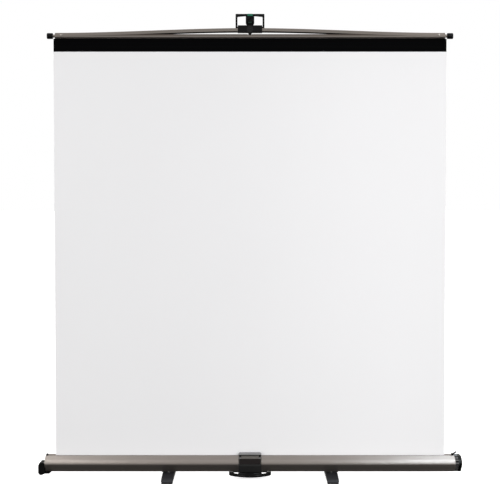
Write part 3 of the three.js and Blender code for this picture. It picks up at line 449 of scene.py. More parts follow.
finishes = {
    "case_metal": metalFinish("caseMetal", (0.295, 0.264, 0.242)),
    "slat_metal": metalFinish("slatMetal", (0.27, 0.242, 0.22), slatGrain),
    "bright_metal": metalFinish("brightMetal", (0.66, 0.65, 0.63), platedMetal),
    "roller_metal": metalFinish("rollerMetal", (0.62, 0.62, 0.62)),
    "dark_metal": paintFinish("darkMetal", (0.035, 0.034, 0.033)),
    "mast_metal": paintFinish("mastMetal", (0.022, 0.021, 0.02)),
    "black_plastic": plasticFinish("blackPlastic", (0.0018, 0.0018, 0.002), 0.5, 0.35, 0.07),
    "gloss_black": plasticFinish("glossBlack", (0.0015, 0.0015, 0.0017), 0.22, 0.06, 0.15),
    "charcoal_plastic": plasticFinish("charcoalPlastic", (0.0035, 0.0035, 0.004), 0.5, 0.35, 0.12),
    "grey_plastic": plasticFinish("greyPlastic", (0.17, 0.17, 0.175), 0.42, 0.2),
    "plate_plastic": plasticFinish("platePlastic", (0.008, 0.005, 0.005), 0.25, 0.05, 0.3),
    "foot_plastic": plasticFinish("footPlastic", (0.017, 0.017, 0.02), 0.5, 0.5, 0.2),
    "green_plastic": plasticFinish("greenPlastic", (0.009, 0.125, 0.07), 0.35, 0.1, 0.3),
    "rubber": plasticFinish("rubber", (0.006, 0.006, 0.006), 0.8, 0.6, 0.2),
    "white_fabric": clothFinish("whiteFabric", (0.815, 0.815, 0.83), 0.75, 0.05),
    "black_fabric": clothFinish("blackFabric", (0.001, 0.001, 0.0012), 0.9, 0.0, 0.03),
}
print("finishes made:", len(finishes))


# The case and its ends

caseTube = {
    "shoulder": 36 * mm, "noseLow": 38 * mm, "noseHigh": 54 * mm,
    "frontRadius": 1.6 * mm, "noseRadius": 12 * mm, "backRadius": 8 * mm, "wall": 2 * mm,
    "slotFront": -3 * mm, "slotBack": 7 * mm, "rim": 0.4 * mm,
    "portRadius": 4 * mm, "portBore": 1.9 * mm, "portSink": 5.2 * mm,
}
caseLow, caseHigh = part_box("case_tube")
mastLine = sum(corner.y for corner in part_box("mast_base_tube")) / 2


# The case's corners at a place along it, and the radius at each
def caseSection(x, share=1.0):
    shoulder = caseLow.y + caseTube["shoulder"]
    spots = [
        (shoulder, caseLow.z), (caseHigh.y, caseLow.z), (caseHigh.y, caseHigh.z), (shoulder, caseHigh.z),
        (caseLow.y, caseLow.z + caseTube["noseHigh"]), (caseLow.y, caseLow.z + caseTube["noseLow"]),
    ]
    middle = (caseLow + caseHigh) / 2
    corners = [Vector((x, middle.y + (y - middle.y) * share, middle.z + (z - middle.z) * share))
               for y, z in spots]
    front, back, nose = (caseTube[name] * share for name in ("frontRadius", "backRadius", "noseRadius"))
    return corners, [front, back, back, front, nose, nose]


def screwPorts():
    sink = caseTube["portSink"]
    return [
        (caseLow.y + sink, caseLow.z + (caseTube["noseLow"] + caseTube["noseHigh"]) / 2),
        (caseHigh.y - sink, caseLow.z + sink), (caseHigh.y - sink, caseHigh.z - sink),
    ]


def portRods(radius, low, high):
    return [addRod("portRod", radius, (low, y, z), (high, y, z), 24) for y, z in screwPorts()]


def makeCaseTube():
    corners, radii = caseSection(caseLow.x)
    piece = addPrism("caseTube", corners, xAxis * (caseHigh.x - caseLow.x))
    roundSection(piece, xAxis, corners, radii, 10)
    deleteFaces(piece, lambda middle, normal: abs(normal.x) > 0.9)
    for edge in (caseTube["slotFront"], caseTube["slotBack"]):
        splitAcross(piece, (0, edge, 0), yAxis)
    deleteFaces(piece, lambda middle, normal: normal.z > 0.9
                and caseTube["slotFront"] < middle.y < caseTube["slotBack"])
    applyModifier(piece, "SOLIDIFY", thickness=caseTube["wall"], offset=-1, use_even_offset=True)
    bevelEdges(piece, lambda middle, direction: abs(direction.x) > 0.9
               and middle.z > caseHigh.z - caseTube["wall"] - near
               and min(abs(middle.y - caseTube[edge]) for edge in ("slotFront", "slotBack")) < near,
               caseTube["rim"], 2)
    softenEnds(piece, xAxis, caseTube["rim"] / 2, 1)
    weld(piece, *portRods(caseTube["portRadius"], caseLow.x + overrun, caseHigh.x - overrun))
    cutAway(piece, *portRods(caseTube["portBore"], caseLow.x - overrun, caseHigh.x + overrun))
    finishPiece(piece, "root", "case_metal", "case_tube")


endPlate = {
    "rim": 0.4 * mm, "screwHead": 3.5 * mm, "screwHeight": 1.8 * mm, "slotWidth": 0.9 * mm,
    "domeShare": 0.6, "slotShare": 0.6,
}


# A pan head with a cross recess, standing out along the axis
def addScrew(name, place, axis, radius, height, slotWidth):
    head = addRod(name, radius, place, Vector(place) + axis * height)
    top = Vector(place) + axis * height
    bevelEdges(head, lambda middle, direction: abs((middle - top).dot(axis)) < near,
               height * endPlate["domeShare"], 3)
    reach = radius * endPlate["slotShare"]
    for across in (yAxis, zAxis) if abs(axis.x) > 0.5 else (xAxis, zAxis if abs(axis.y) > 0.5 else yAxis):
        other = axis.cross(across)
        half = across * reach + other * slotWidth / 2 + axis * height / 2
        half = Vector(abs(side) for side in half)
        cutAway(head, addBox("recess", top - half, top + half))
    return head


def makeEndPlate(name, node):
    low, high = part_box(node)
    corners, radii = caseSection(low.x)
    piece = addPrism(name, corners, xAxis * (high.x - low.x))
    roundSection(piece, xAxis, corners, radii, 8)
    softenEnds(piece, xAxis, endPlate["rim"])
    cutAway(piece, *portRods(caseTube["portBore"], low.x - overrun, high.x + overrun))
    finishPiece(piece, "root", "case_metal", node)


def makeEndScrews():
    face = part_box("left_end_plate")[0].x
    screws = [addScrew("leftEndScrews", Vector((face, y, z)), -xAxis, endPlate["screwHead"],
                       endPlate["screwHeight"], endPlate["slotWidth"]) for y, z in screwPorts()]
    finishPiece(gather(*screws), "root", "bright_metal")


endShoe = {
    "shoulder": 25 * mm, "chamferDrop": 13 * mm, "toeRise": 10 * mm, "toeWidth": 20 * mm,
    "tongueDrop": 5.4 * mm, "tongueBevel": 6 * mm, "edge": 1.4 * mm,
    "toeDip": 1.3 * mm, "topRound": 3 * mm, "toeRound": 4 * mm, "panelBorder": 4 * mm, "panelDepth": 0.8 * mm,
}


def makeEndShoe():
    low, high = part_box("left_end_shoe")
    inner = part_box("left_end_plate")[0].x - seatGap
    under = caseLow.z - seatGap
    tongueLow = caseLow.z - endShoe["tongueDrop"]
    spots = [
        (inner, high.z), (inner - endShoe["shoulder"], high.z), (low.x, high.z - endShoe["chamferDrop"]),
        (low.x, low.z + endShoe["toeRise"]), (low.x + endShoe["toeRise"], low.z),
        (low.x + endShoe["toeWidth"], (low.z + tongueLow) / 2 - endShoe["toeDip"]),
        (inner + seatGap, tongueLow), (high.x - endShoe["tongueBevel"], tongueLow),
        (high.x, under), (inner, under),
    ]
    corners = [Vector((x, low.y, z)) for x, z in spots]
    piece = addPrism("leftEndShoe", corners, yAxis * (high.y - low.y))
    roundSection(piece, yAxis, corners[1:5], [endShoe["topRound"]] * 2 + [endShoe["toeRound"]] * 2, 4)
    soften(piece, endShoe["edge"], 3)
    sinkFaces(piece, lambda middle, normal: normal.x < -0.99, endShoe["panelBorder"],
              endShoe["panelDepth"], -xAxis)
    finishPiece(piece, "root", "black_plastic", "left_end_shoe")


endCollar = {
    "share": 0.974, "ribPitch": 16 * mm, "ribDepth": 1.4 * mm, "ribSteps": (0.1, 0.2, 0.5, 0.6),
    "boreShare": 0.86, "rim": 0.6 * mm, "gapShadeFrom": 0.28,
    # The rib tone is a painted highlight and the gap tone a painted shade.
    "ribHighlightTone": (0.09, 0.09, 0.092), "gapShadeTone": (0.004, 0.004, 0.004),
}


# Grip ribs that run along the case, spaced evenly round its outline
def makeEndCollar():
    low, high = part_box("right_end_collar")
    outline = roundedOutline(*caseSection(low.x, endCollar["share"]))
    closed = outline + outline[:1]
    lengths = [(onward - here).length for here, onward in zip(closed, closed[1:])]
    count = round(sum(lengths) / endCollar["ribPitch"])
    points = []
    for rib in range(count):
        for step, depth in zip(endCollar["ribSteps"], (0, endCollar["ribDepth"], endCollar["ribDepth"], 0)):
            left = (rib + step) / count * sum(lengths)
            i = 0
            while left > lengths[i]:
                left -= lengths[i]
                i += 1
            along = (closed[i + 1] - closed[i]).normalized()
            points.append(closed[i] + along * left + xAxis.cross(along) * depth)
    piece = addPrism("rightEndCollar", points, xAxis * (high.x - low.x))
    softenEnds(piece, xAxis, endCollar["rim"])
    corners, radii = caseSection(low.x - overrun, endCollar["boreShare"])
    bore = addPrism("bore", corners, xAxis * (high.x - low.x + 2 * overrun))
    roundSection(bore, xAxis, corners, radii)
    cutAway(piece, bore)
    ribTops = [(start + end) / 2 for start, end in zip(points[1::4], points[2::4])]
    # Painted light: the collar takes a lighter grey as a painted highlight on its ribs, and the faces away
    # from the rib tops take a near-black tone as painted shade between the ribs.
    piece.data.materials.append(plasticFinish("collarRibHighlight", endCollar["ribHighlightTone"], 0.32, 0.1, 0.6))
    facePaint(piece, plasticFinish("collarGapShade", endCollar["gapShadeTone"], 0.5, 0.1, 0.1), lambda middle, normal:
              min((middle - top).yz.length for top in ribTops) > endCollar["ribPitch"] * endCollar["gapShadeFrom"])
    finishPiece(piece, "root", "charcoal_plastic", "right_end_collar")


endCap = {"dome": 5 * mm, "drawIn": 0.09, "rings": 7, "lip": 0.6 * mm}


def makeEndCap():
    low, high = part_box("right_end_cap")
    corners, radii = caseSection(low.x)
    piece = addPrism("rightEndCap", corners, xAxis * (high.x - endCap["dome"] - low.x))
    roundSection(piece, xAxis, corners, radii, 8)
    centre = (caseLow + caseHigh) / 2
    pick(piece, "FACE", lambda middle, normal: normal.x > 0.99)
    rise, share = 0, 1
    for ring in range(1, endCap["rings"] + 1):
        turn = ring / endCap["rings"] * pi / 2
        nextShare = 1 - endCap["drawIn"] * (1 - cos(turn))
        push(xAxis * (endCap["dome"] * sin(turn) - rise))
        draw = nextShare / share
        bpy.ops.transform.resize(value=(1, draw, draw), center_override=centre)
        rise, share = endCap["dome"] * sin(turn), nextShare
    leave()
    bevelEdges(piece, lambda middle, direction: abs(direction.x) < 0.01 and abs(middle.x - low.x) < near,
               endCap["lip"], 2)
    finishPiece(piece, "root", "gloss_black", "right_end_cap", angle=40)


slatRests = {
    "edge": 0.7 * mm, "forkClear": 0.3 * mm, "pinRadius": 2 * mm, "pinInset": 1 * mm, "eyeRadius": 3 * mm,
    "stopBorder": 1.2 * mm, "stopSink": 1 * mm,
}


def makeSlatStop():
    piece = addBox("slatStop", *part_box("slat_stop"))
    soften(piece, slatRests["edge"], 3)
    sinkFaces(piece, lambda middle, normal: normal.z > 0.99, slatRests["stopBorder"], slatRests["stopSink"],
              zAxis)
    finishPiece(piece, "root", "charcoal_plastic", "slat_stop")


def makeLatchBracket():
    low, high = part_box("latch_bracket")
    pivot = latchPivot()
    piece = soften(addBox("latchBracket", low, high), slatRests["edge"], 3)
    gap = latchHalf() + slatRests["forkClear"]
    floor = pivot.z - slatRests["eyeRadius"] - slatRests["forkClear"]
    cutAway(piece, addBox("fork", (low.x - overrun, -gap, floor), (high.x + overrun, gap, high.z + overrun)))
    inset = slatRests["pinInset"]
    pin = addRod("pin", slatRests["pinRadius"], (pivot.x, low.y + inset, pivot.z),
                 (pivot.x, high.y - inset, pivot.z))
    weld(piece, pin)
    finishPiece(piece, "root", "black_plastic", "latch_bracket")


def latchHalf():
    return (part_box("slat_latch")[1].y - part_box("slat_latch")[0].y) / 2


def latchPivot():
    return next(Vector(joint["pos_m"]) for joint in frame["joints"] if joint["name"] == "slat_latch_turn")


slatLatch = {
    "length": 22 * mm, "thickness": 4.5 * mm, "tilt": radians(32), "tip": 1.4 * mm, "edge": 0.4 * mm,
    "ribs": 4, "ribStart": 2.5 * mm, "ribPitch": 2 * mm, "ribWidth": 0.9 * mm, "ribRise": 0.5 * mm,
    "ribRoot": 0.2 * mm, "ribInset": 1 * mm, "ribDraw": 0.3,
}


# The plate is drawn in its tilted place: an eye round the pin, and ribs across the tip for the thumb
def makeSlatLatch():
    pivot, half = latchPivot(), latchHalf()
    along = Vector((cos(slatLatch["tilt"]), 0, sin(slatLatch["tilt"])))
    up = Vector((-along.z, 0, along.x))
    thick = up * slatLatch["thickness"] / 2
    start = pivot - yAxis * half
    reach = along * slatLatch["length"]
    outline = [start - thick, start + reach - thick, start + reach + thick, start + thick]
    piece = addPrism("slatLatch", outline, yAxis * 2 * half)
    bevelEdges(piece, lambda middle, direction: (middle - pivot).dot(along) > slatLatch["length"] - near
               and abs(direction.y) > 0.9, slatLatch["tip"], 4)
    soften(piece, slatLatch["edge"], 2)
    weld(piece, addRod("eye", slatRests["eyeRadius"], start, start + yAxis * 2 * half))
    inset, draw, root = slatLatch["ribInset"], slatLatch["ribDraw"], slatLatch["ribRoot"]
    for rib in range(slatLatch["ribs"]):
        place = slatLatch["length"] - slatLatch["ribStart"] - slatLatch["ribPitch"] * rib
        base = start + along * place + thick - up * root + yAxis * inset
        wide, tall = along * slatLatch["ribWidth"], up * (slatLatch["ribRise"] + root)
        outline = [base, base + wide, base + wide * (1 - draw) + tall, base + wide * draw + tall]
        weld(piece, addPrism("rib", outline, yAxis * (2 * half - 2 * inset)))
    bore = slatRests["pinRadius"] + seatGap
    cutAway(piece, addRod("bore", bore, start - yAxis * overrun, start + yAxis * (2 * half + overrun)))
    finishPiece(piece, "slat_latch", "charcoal_plastic", "slat_latch")


makeCaseTube()
makeEndPlate("leftEndPlate", "left_end_plate")
makeEndPlate("rightEndPlate", "right_end_plate")
makeEndScrews()
makeEndShoe()
makeEndCollar()
makeEndCap()
makeSlatStop()
makeLatchBracket()
makeSlatLatch()
print("case made")


# The clamp round the case's middle, and the carry handle

clampCover = {
    "topFront": 24 * mm, "topRake": 7 * mm, "topBevel": 3 * mm, "topTaper": 5 * mm, "lipClear": 3.6 * mm,
    "ledgeRise": 5.5 * mm, "notch": 4 * mm, "notchDrop": 3 * mm, "faceHigh": 27 * mm,
    "holeInset": 4 * mm, "holeSize": 8 * mm, "edge": 0.9 * mm,
    # The notch tone is a painted shade for the notch under the ledge and the two holes.
    "frontTone": (0.08, 0.074, 0.066), "notchShadeTone": (0.01, 0.01, 0.01),
}


def makeClampCover():
    low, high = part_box("clamp_cover")
    skin = caseSection(low.x)[0]
    shoulder, nose = skin[3], skin[4]
    front = high.y + clampCover["lipClear"] - clampCover["topFront"]
    bevel, notch, drop = clampCover["topBevel"], clampCover["notch"], clampCover["notchDrop"]
    ledge = caseHigh.z + clampCover["ledgeRise"]
    spots = [
        (nose.y - seatGap, low.z), (nose.y - seatGap, nose.z), (shoulder.y, caseHigh.z + seatGap),
        (high.y, caseHigh.z + seatGap), (high.y, high.z - bevel), (high.y - bevel, high.z),
        (front + clampCover["topRake"] + bevel, high.z), (front + clampCover["topRake"], high.z - bevel),
        (front, ledge + drop), (front, ledge), (front + notch, ledge),
        (front + notch, ledge - drop), (low.y, low.z + clampCover["faceHigh"]), (low.y, low.z),
    ]
    corners = [Vector((low.x, y, z)) for y, z in spots]
    piece = addPrism("clampCover", corners, xAxis * (high.x - low.x))
    bevelEdges(piece, alongLine(corners[1], xAxis), caseTube["noseRadius"], 6)
    for side in (-1, 1):
        narrow = high.x - clampCover["topTaper"]
        base = ledge + drop
        reach = narrow - (high.x - narrow) * overrun / (high.z - base)
        tip = high.z + overrun
        wedge = [Vector((side * x, low.y - overrun, z)) for x, z in
                 ((high.x, base), (high.x + overrun, base), (high.x + overrun, tip), (reach, tip))]
        cutAway(piece, addPrism("wedge", wedge, yAxis * (high.y - low.y + 2 * overrun)))
    soften(piece, clampCover["edge"], 3)
    inset, size = clampCover["holeInset"], clampCover["holeSize"]
    holeLow, holeBack = ledge - drop - size, front + 2 * notch
    for side in (-1, 1):
        start, stop = sorted((side * (high.x - inset), side * (high.x - inset - size)))
        cutAway(piece, addBox("hole", (start, low.y - overrun, holeLow), (stop, holeBack, ledge - drop)))
    piece.data.materials.append(finishes["grey_plastic"])
    facePaint(piece, plasticFinish("coverFront", clampCover["frontTone"], 0.42, 0.2, 0.3),
              lambda middle, normal: middle.z < ledge - drop - near and normal.y < -0.1)
    # Painted shade: the faces in the notch under the ledge and at the back of the two holes are painted
    # near-black.
    notchShade = plasticFinish("coverNotchShade", clampCover["notchShadeTone"], 0.6, 0.2, 0.1)
    facePaint(piece, notchShade, lambda middle, normal:
              ledge - drop < middle.z < ledge + near and middle.y < front + notch + near
              or holeLow < middle.z < ledge - drop and abs(middle.y - holeBack) < near)
    finishPiece(piece, "root", "grey_plastic", "clamp_cover")


barePlate = {"corner": 1.6 * mm, "edge": 0.35 * mm, "border": 1.6 * mm, "sink": 0.4 * mm}


def makeBarePlate():
    low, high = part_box("cover_plate")
    piece = addBox("coverPlate", low, high)
    bevelEdges(piece, lambda middle, direction: abs(direction.y) > 0.9, barePlate["corner"], 4)
    softenEnds(piece, yAxis, barePlate["edge"])
    sinkFaces(piece, lambda middle, normal: normal.y < -0.99, barePlate["border"], barePlate["sink"], -yAxis)
    finishPiece(piece, "root", "plate_plastic", "cover_plate")


clampBase = {
    "skin": 5 * mm, "strap": 5.5 * mm, "strapFront": -4 * mm, "strapBack": 30 * mm, "edge": 0.8 * mm,
    "earThickness": 6 * mm, "eyeRadius": 8 * mm, "pivotBack": 14 * mm, "pivotDrop": 13 * mm,
    "trunnion": 3.5 * mm, "trunnionRoot": 77.7 * mm, "trunnionInset": 3 * mm, "pinEdge": 0.5 * mm,
    "noseDrop": 2 * mm, "frontRound": 9 * mm, "strapInset": 0.1 * mm, "strapEdge": 0.5 * mm,
    "eyeRound": 0.98, "earRoot": 1 * mm, "tone": (0.03, 0.03, 0.03),
}


def makeClampBase():
    low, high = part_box("clamp_base")
    skin = caseSection(low.x)[0]
    bottom, nose = skin[0], skin[5]
    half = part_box("clamp_cover")[1].x
    earOuter = clampBase["trunnionRoot"] + clampBase["earThickness"] / 2
    under = caseLow.z - seatGap
    strapLow = under - clampBase["strap"]
    spots = [
        (nose.y - seatGap, high.z), (low.y, high.z), (low.y, nose.z - clampBase["noseDrop"]),
        (bottom.y - clampBase["skin"], strapLow), (high.y, strapLow), (high.y, under),
        (bottom.y, under), (nose.y - seatGap, nose.z),
    ]
    corners = [Vector((-half, y, z)) for y, z in spots]
    piece = addPrism("clampBase", corners, xAxis * 2 * half)
    bevelEdges(piece, alongLine(corners[7], xAxis), caseTube["noseRadius"], 6)
    bevelEdges(piece, alongLine(corners[2], xAxis), clampBase["frontRound"], 6)
    soften(piece, clampBase["edge"], 3)
    inset = clampBase["strapInset"]
    strap = addBox("strap", (-earOuter, clampBase["strapFront"], strapLow + inset),
                   (earOuter, clampBase["strapBack"], under - inset))
    weld(piece, soften(strap, clampBase["strapEdge"], 2))
    pivotY, pivotZ = clampBase["pivotBack"], caseLow.z - clampBase["pivotDrop"]
    radius = clampBase["eyeRadius"]
    for side in (-1, 1):
        start = (earOuter - clampBase["earThickness"]) if side > 0 else -earOuter
        ear = addBox("ear", (start, pivotY - radius, pivotZ - radius),
                     (start + clampBase["earThickness"], pivotY + radius, under - clampBase["earRoot"]))
        lows = [Vector((start, pivotY + shift, pivotZ - radius)) for shift in (-radius, radius)]
        roundSection(ear, xAxis, lows, [radius * clampBase["eyeRound"]] * 2, 10)
        softenEnds(ear, xAxis, clampBase["pinEdge"], 2)
        root = earOuter - clampBase["trunnionInset"]
        pin = addRod("trunnion", clampBase["trunnion"], (side * root, pivotY, pivotZ),
                     (side * high.x, pivotY, pivotZ))
        softenEnds(pin, xAxis, clampBase["pinEdge"], 2)
        weld(piece, ear, pin)
    piece.data.materials.append(plasticFinish("clampPlastic", clampBase["tone"], 0.45, 0.3, 0.1))
    finishPiece(piece, "root", "black_plastic", "clamp_base")


carryHandle = {
    "thickness": 12.5 * mm, "depth": 17 * mm, "corner": 3.5 * mm, "bend": 16 * mm, "elbow": 10 * mm,
    "bow": 28 * mm, "steps": 12, "eyeRadius": 8 * mm, "eyeEdge": 1 * mm,
    "gripShare": 0.56, "gripDepth": 25 * mm, "gripRise": 7.5 * mm,
    "gripInset": 0.5 * mm, "gripCorner": 5 * mm, "gripEdge": 2.5 * mm, "gripSteps": 12,
}


# A flat section pushed along a level path, turned at each point to face along it
def sweep(name, section, path):
    headings = [(onward - back).normalized() for back, onward in
                zip([path[0]] + path, path[1:] + [path[-1]])]
    piece = drawLine(name, [path[0] + xAxis * across + zAxis * up for across, up in section])
    bpy.ops.mesh.edge_face_add()
    for i in range(1, len(path)):
        push(path[i] - path[i - 1])
        turn = headings[i - 1].xy.angle_signed(headings[i].xy)
        if abs(turn) > 1e-6:
            bpy.ops.transform.rotate(value=turn, orient_axis="Z", center_override=path[i])
    return closeUp(piece)


def curveThrough(start, pull, end, steps):
    return [start.lerp(pull, share).lerp(pull.lerp(end, share), share)
            for share in (step / steps for step in range(1, steps + 1))]


# The bow's middle is deeper and taller than its arms
def makeGrip(front, bend, low, high):
    half = carryHandle["gripShare"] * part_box("carry_handle")[1].x
    steps = carryHandle["gripSteps"]
    curve = [half * (2 * step / steps - 1) for step in range(steps + 1)]
    points = [Vector((x, front + carryHandle["bow"] * (x / bend) ** 2, low)) for x in curve]
    back = front + carryHandle["gripDepth"] - carryHandle["gripInset"]
    points += [Vector((half, back, low)), Vector((-half, back, low))]
    grip = addPrism("grip", points, zAxis * (high - low))
    for corner in points[-2:]:
        bevelEdges(grip, alongLine(corner, zAxis), carryHandle["gripCorner"], 4)
    return soften(grip, carryHandle["gripEdge"], 4, 50)


def makeCarryHandle():
    low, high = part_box("carry_handle")
    pivot = Vector((0, clampBase["pivotBack"], caseLow.z - clampBase["pivotDrop"]))
    depth = carryHandle["depth"]
    arm = high.x - depth / 2
    front = low.y + depth / 2
    bend = arm - carryHandle["bend"]
    bendY = front + carryHandle["bow"]
    elbowY = bendY + 2 * carryHandle["bow"] * carryHandle["bend"] / bend
    armEnd = elbowY + carryHandle["elbow"]

    def at(x, y):
        return Vector((x, y, pivot.z))
    steps = carryHandle["steps"]
    half = curveThrough(at(-arm, armEnd), at(-arm, elbowY), at(-bend, bendY), steps)
    half += curveThrough(at(-bend, bendY), at(0, front - carryHandle["bow"]), at(bend, bendY), 2 * steps)
    half += curveThrough(at(bend, bendY), at(arm, elbowY), at(arm, armEnd), steps)
    path = [at(-arm, pivot.y), at(-arm, armEnd), *half, at(arm, pivot.y)]
    wide, tall = depth / 2, carryHandle["thickness"] / 2
    square = [Vector((x * wide, y * tall)) for x, y in ((-1, -1), (1, -1), (1, 1), (-1, 1))]
    section = roundedOutline(square, [carryHandle["corner"]] * 4, 4)
    piece = sweep("carryHandle", section, path)
    inset = carryHandle["gripInset"]
    gripTop = pivot.z + tall + carryHandle["gripRise"]
    weld(piece, makeGrip(low.y + inset, bend, pivot.z - tall + inset, gripTop))
    for side in (-1, 1):
        start, end = side * (high.x - depth), side * high.x
        eye = addRod("eye", carryHandle["eyeRadius"], (start, pivot.y, pivot.z), (end, pivot.y, pivot.z), 40)
        softenEnds(eye, xAxis, carryHandle["eyeEdge"], 3)
        weld(piece, eye)
    bore = clampBase["trunnion"] + seatGap
    cutAway(piece, addRod("bore", bore, (low.x - overrun, pivot.y, pivot.z),
                          (high.x + overrun, pivot.y, pivot.z)))
    finishPiece(piece, "carry_handle", "gloss_black", "carry_handle", angle=40)


makeClampCover()
makeBarePlate()
makeClampBase()
makeCarryHandle()
print("clamp and handle made")


# Feet

foot = {
    "panelBorder": 5 * mm, "panelDepth": 0.7 * mm, "toeRise": 10.2 * mm, "toeRun": 10 * mm,
    "flatHalf": 30 * mm, "edge": 3 * mm, "plateCorner": 5 * mm, "plateEdge": 0.5 * mm,
    "boltRadius": 4.5 * mm, "headRadius": 9 * mm, "headDepth": 10 * mm,
    "padEdge": 1.2 * mm, "grooves": 4, "grooveWidth": 2 * mm, "grooveDepth": 1.4 * mm,
}


def makeFootBar(side):
    low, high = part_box(f"{side}_foot_bar")
    toe = high.y - foot["toeRun"]
    spots = [
        (low.y, low.z), (high.y, low.z), (toe, low.z + foot["toeRise"]), (foot["flatHalf"], high.z),
        (-foot["flatHalf"], high.z), (-toe, low.z + foot["toeRise"]),
    ]
    piece = addPrism(f"{side}FootBar", [Vector((low.x, y, z)) for y, z in spots], xAxis * (high.x - low.x))
    soften(piece, foot["edge"], 4, 8)
    sinkFaces(piece, lambda middle, normal: normal.z > 0.985, foot["panelBorder"], foot["panelDepth"], zAxis)
    x = (low.x + high.x) / 2
    hole = addRod("hole", foot["boltRadius"] + seatGap, (x, 0, 0), (x, 0, high.z + overrun))
    sink = addRod("sink", foot["headRadius"] + seatGap, (x, 0, 0), (x, 0, low.z + foot["headDepth"]))
    cutAway(piece, hole, sink)
    finishPiece(piece, f"{side}_foot", "foot_plastic", f"{side}_foot_bar")


# A rubber pad with grooves across its sole
def makeFootPad(side, end):
    node = f"{side}_{end}_pad"
    low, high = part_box(node)
    piece = soften(addBox(f"{side}{end.title()}Pad", low, high), foot["padEdge"], 3)
    pitch = (high.y - low.y) / (foot["grooves"] + 1)
    for groove in range(1, foot["grooves"] + 1):
        y = low.y + groove * pitch
        cutAway(piece, addBox("groove", (low.x - overrun, y - foot["grooveWidth"] / 2, low.z - overrun),
                              (high.x + overrun, y + foot["grooveWidth"] / 2, low.z + foot["grooveDepth"])))
    finishPiece(piece, f"{side}_foot", "rubber", node)


footBolt = {"socketDepth": 2.6 * mm, "socket": 4.2 * mm, "socketMouth": 4.6 * mm, "edge": 1 * mm,
            "tipEdge": 0.5 * mm, "headGap": 4 * mm}


def makeFootBolt(side):
    node = f"{side}_foot_bolt"
    low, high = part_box(node)
    x = (low.x + high.x) / 2
    head, shank = (high.x - low.x) / 2, foot["boltRadius"]
    top, tall = foot["headDepth"] - footBolt["headGap"] - seatGap, high.z - low.z
    depth, edge, tip = footBolt["socketDepth"], footBolt["edge"], footBolt["tipEdge"]
    profile = [
        (0, depth), (footBolt["socket"], depth), (footBolt["socketMouth"], 0), (head - edge, 0), (head, edge),
        (head, top), (shank, top), (shank, tall - tip), (shank - tip, tall), (0, tall),
    ]
    piece = addTurned(f"{side}FootBolt", profile, (x, 0, low.z), zAxis, smallSides)
    finishPiece(piece, "root", "bright_metal", node)


def makeFootPlate(side):
    node = f"{side}_foot_plate"
    low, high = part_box(node)
    x = (low.x + high.x) / 2
    piece = addBox(f"{side}FootPlate", low, high)
    bevelEdges(piece, lambda middle, direction: abs(direction.z) > 0.9, foot["plateCorner"], 5)
    softenEnds(piece, zAxis, foot["plateEdge"])
    bore = addRod("bore", foot["boltRadius"] + seatGap, (x, 0, low.z - overrun), (x, 0, high.z + overrun))
    cutAway(piece, bore)
    finishPiece(piece, "root", "dark_metal", node)


for footSide in ("left", "right"):
    makeFootBar(footSide)
    makeFootPad(footSide, "front")
    makeFootPad(footSide, "rear")
    makeFootBolt(footSide)
    makeFootPlate(footSide)
print("feet made")


# The mast

mast = {
    "tubeWall": 1.5 * mm, "skin": 5 * mm, "grip": 20 * mm, "rise": 25 * mm, "earReach": 13 * mm,
    "earWidth": 12 * mm, "earHeight": 6 * mm, "leverThickness": 5 * mm, "leverStandoff": 1.2 * mm,
    "leverHeight": 24 * mm, "leverSweep": radians(138), "leverSteps": 24, "leverEdge": 1.2 * mm,
    "pinRadius": 2.5 * mm, "pinEdge": 0.5 * mm, "edge": 0.7 * mm, "earRoot": 2.5 * mm, "earRound": 5.6 * mm,
    "groove": 2 * mm, "grooveSink": 0.6 * mm, "shoulder": 4 * mm, "shoulderIn": 1 * mm, "earFree": 1 * mm,
}
mastRadii = {stage: (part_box(f"mast_{stage}_tube")[1].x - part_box(f"mast_{stage}_tube")[0].x) / 2
             for stage in ("base", "middle", "top")}


def makeMastTube(stage, body):
    node = f"mast_{stage}_tube"
    low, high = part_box(node)
    outer = mastRadii[stage]
    piece = addTube(f"mast{stage.title()}Tube", outer, outer - mast["tubeWall"], low.z, high.z)
    finishPiece(piece, body, "mast_metal", node)


# The collar grips the wide tube below and guides the narrow one above
def makeCollar(stage, wide, narrow, body):
    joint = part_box(f"mast_{wide}_tube")[1].z
    grip, guide = mastRadii[wide] + seatGap, mastRadii[narrow] + seatGap
    skin = grip + mast["skin"]
    foot, rise, edge = -mast["grip"], mast["rise"], mast["edge"]
    groove, sink, step = mast["groove"], mast["grooveSink"], mast["shoulderIn"]
    profile = [
        (grip, foot), (skin - edge, foot), (skin, foot + edge),
        (skin, -groove), (skin - sink, sink - groove), (skin - sink, -sink), (skin, 0),
        (skin, rise - mast["shoulder"]), (skin - step, rise - step), (skin - 2 * step, rise),
        (guide, rise), (guide, seatGap), (grip, seatGap), (grip, foot),
    ]
    piece = addTurned(f"{stage}Collar", profile, (0, mastLine, joint), zAxis)
    pin, free = skin + mast["earReach"] / 2, skin + mast["earFree"]
    half = mast["leverHeight"] / 2 + seatGap
    for low, high in ((-half - mast["earHeight"], -half), (half, half + mast["earHeight"])):
        ear = addBox("ear", (skin - mast["earRoot"], mastLine - mast["earWidth"] / 2, joint + low),
                     (skin + mast["earReach"], mastLine + mast["earWidth"] / 2, joint + high))
        bevelEdges(ear, lambda middle, direction: abs(direction.z) > 0.9 and middle.x > free,
                   mast["earRound"], 8)
        softenEnds(ear, zAxis, mast["edge"])
        weld(piece, ear)
    bore = mast["pinRadius"] + seatGap
    cutAway(piece, addRod("bore", bore, (pin, mastLine, joint - 2 * half), (pin, mastLine, joint + 2 * half)))
    finishPiece(piece, body, "black_plastic", f"{stage}_collar")
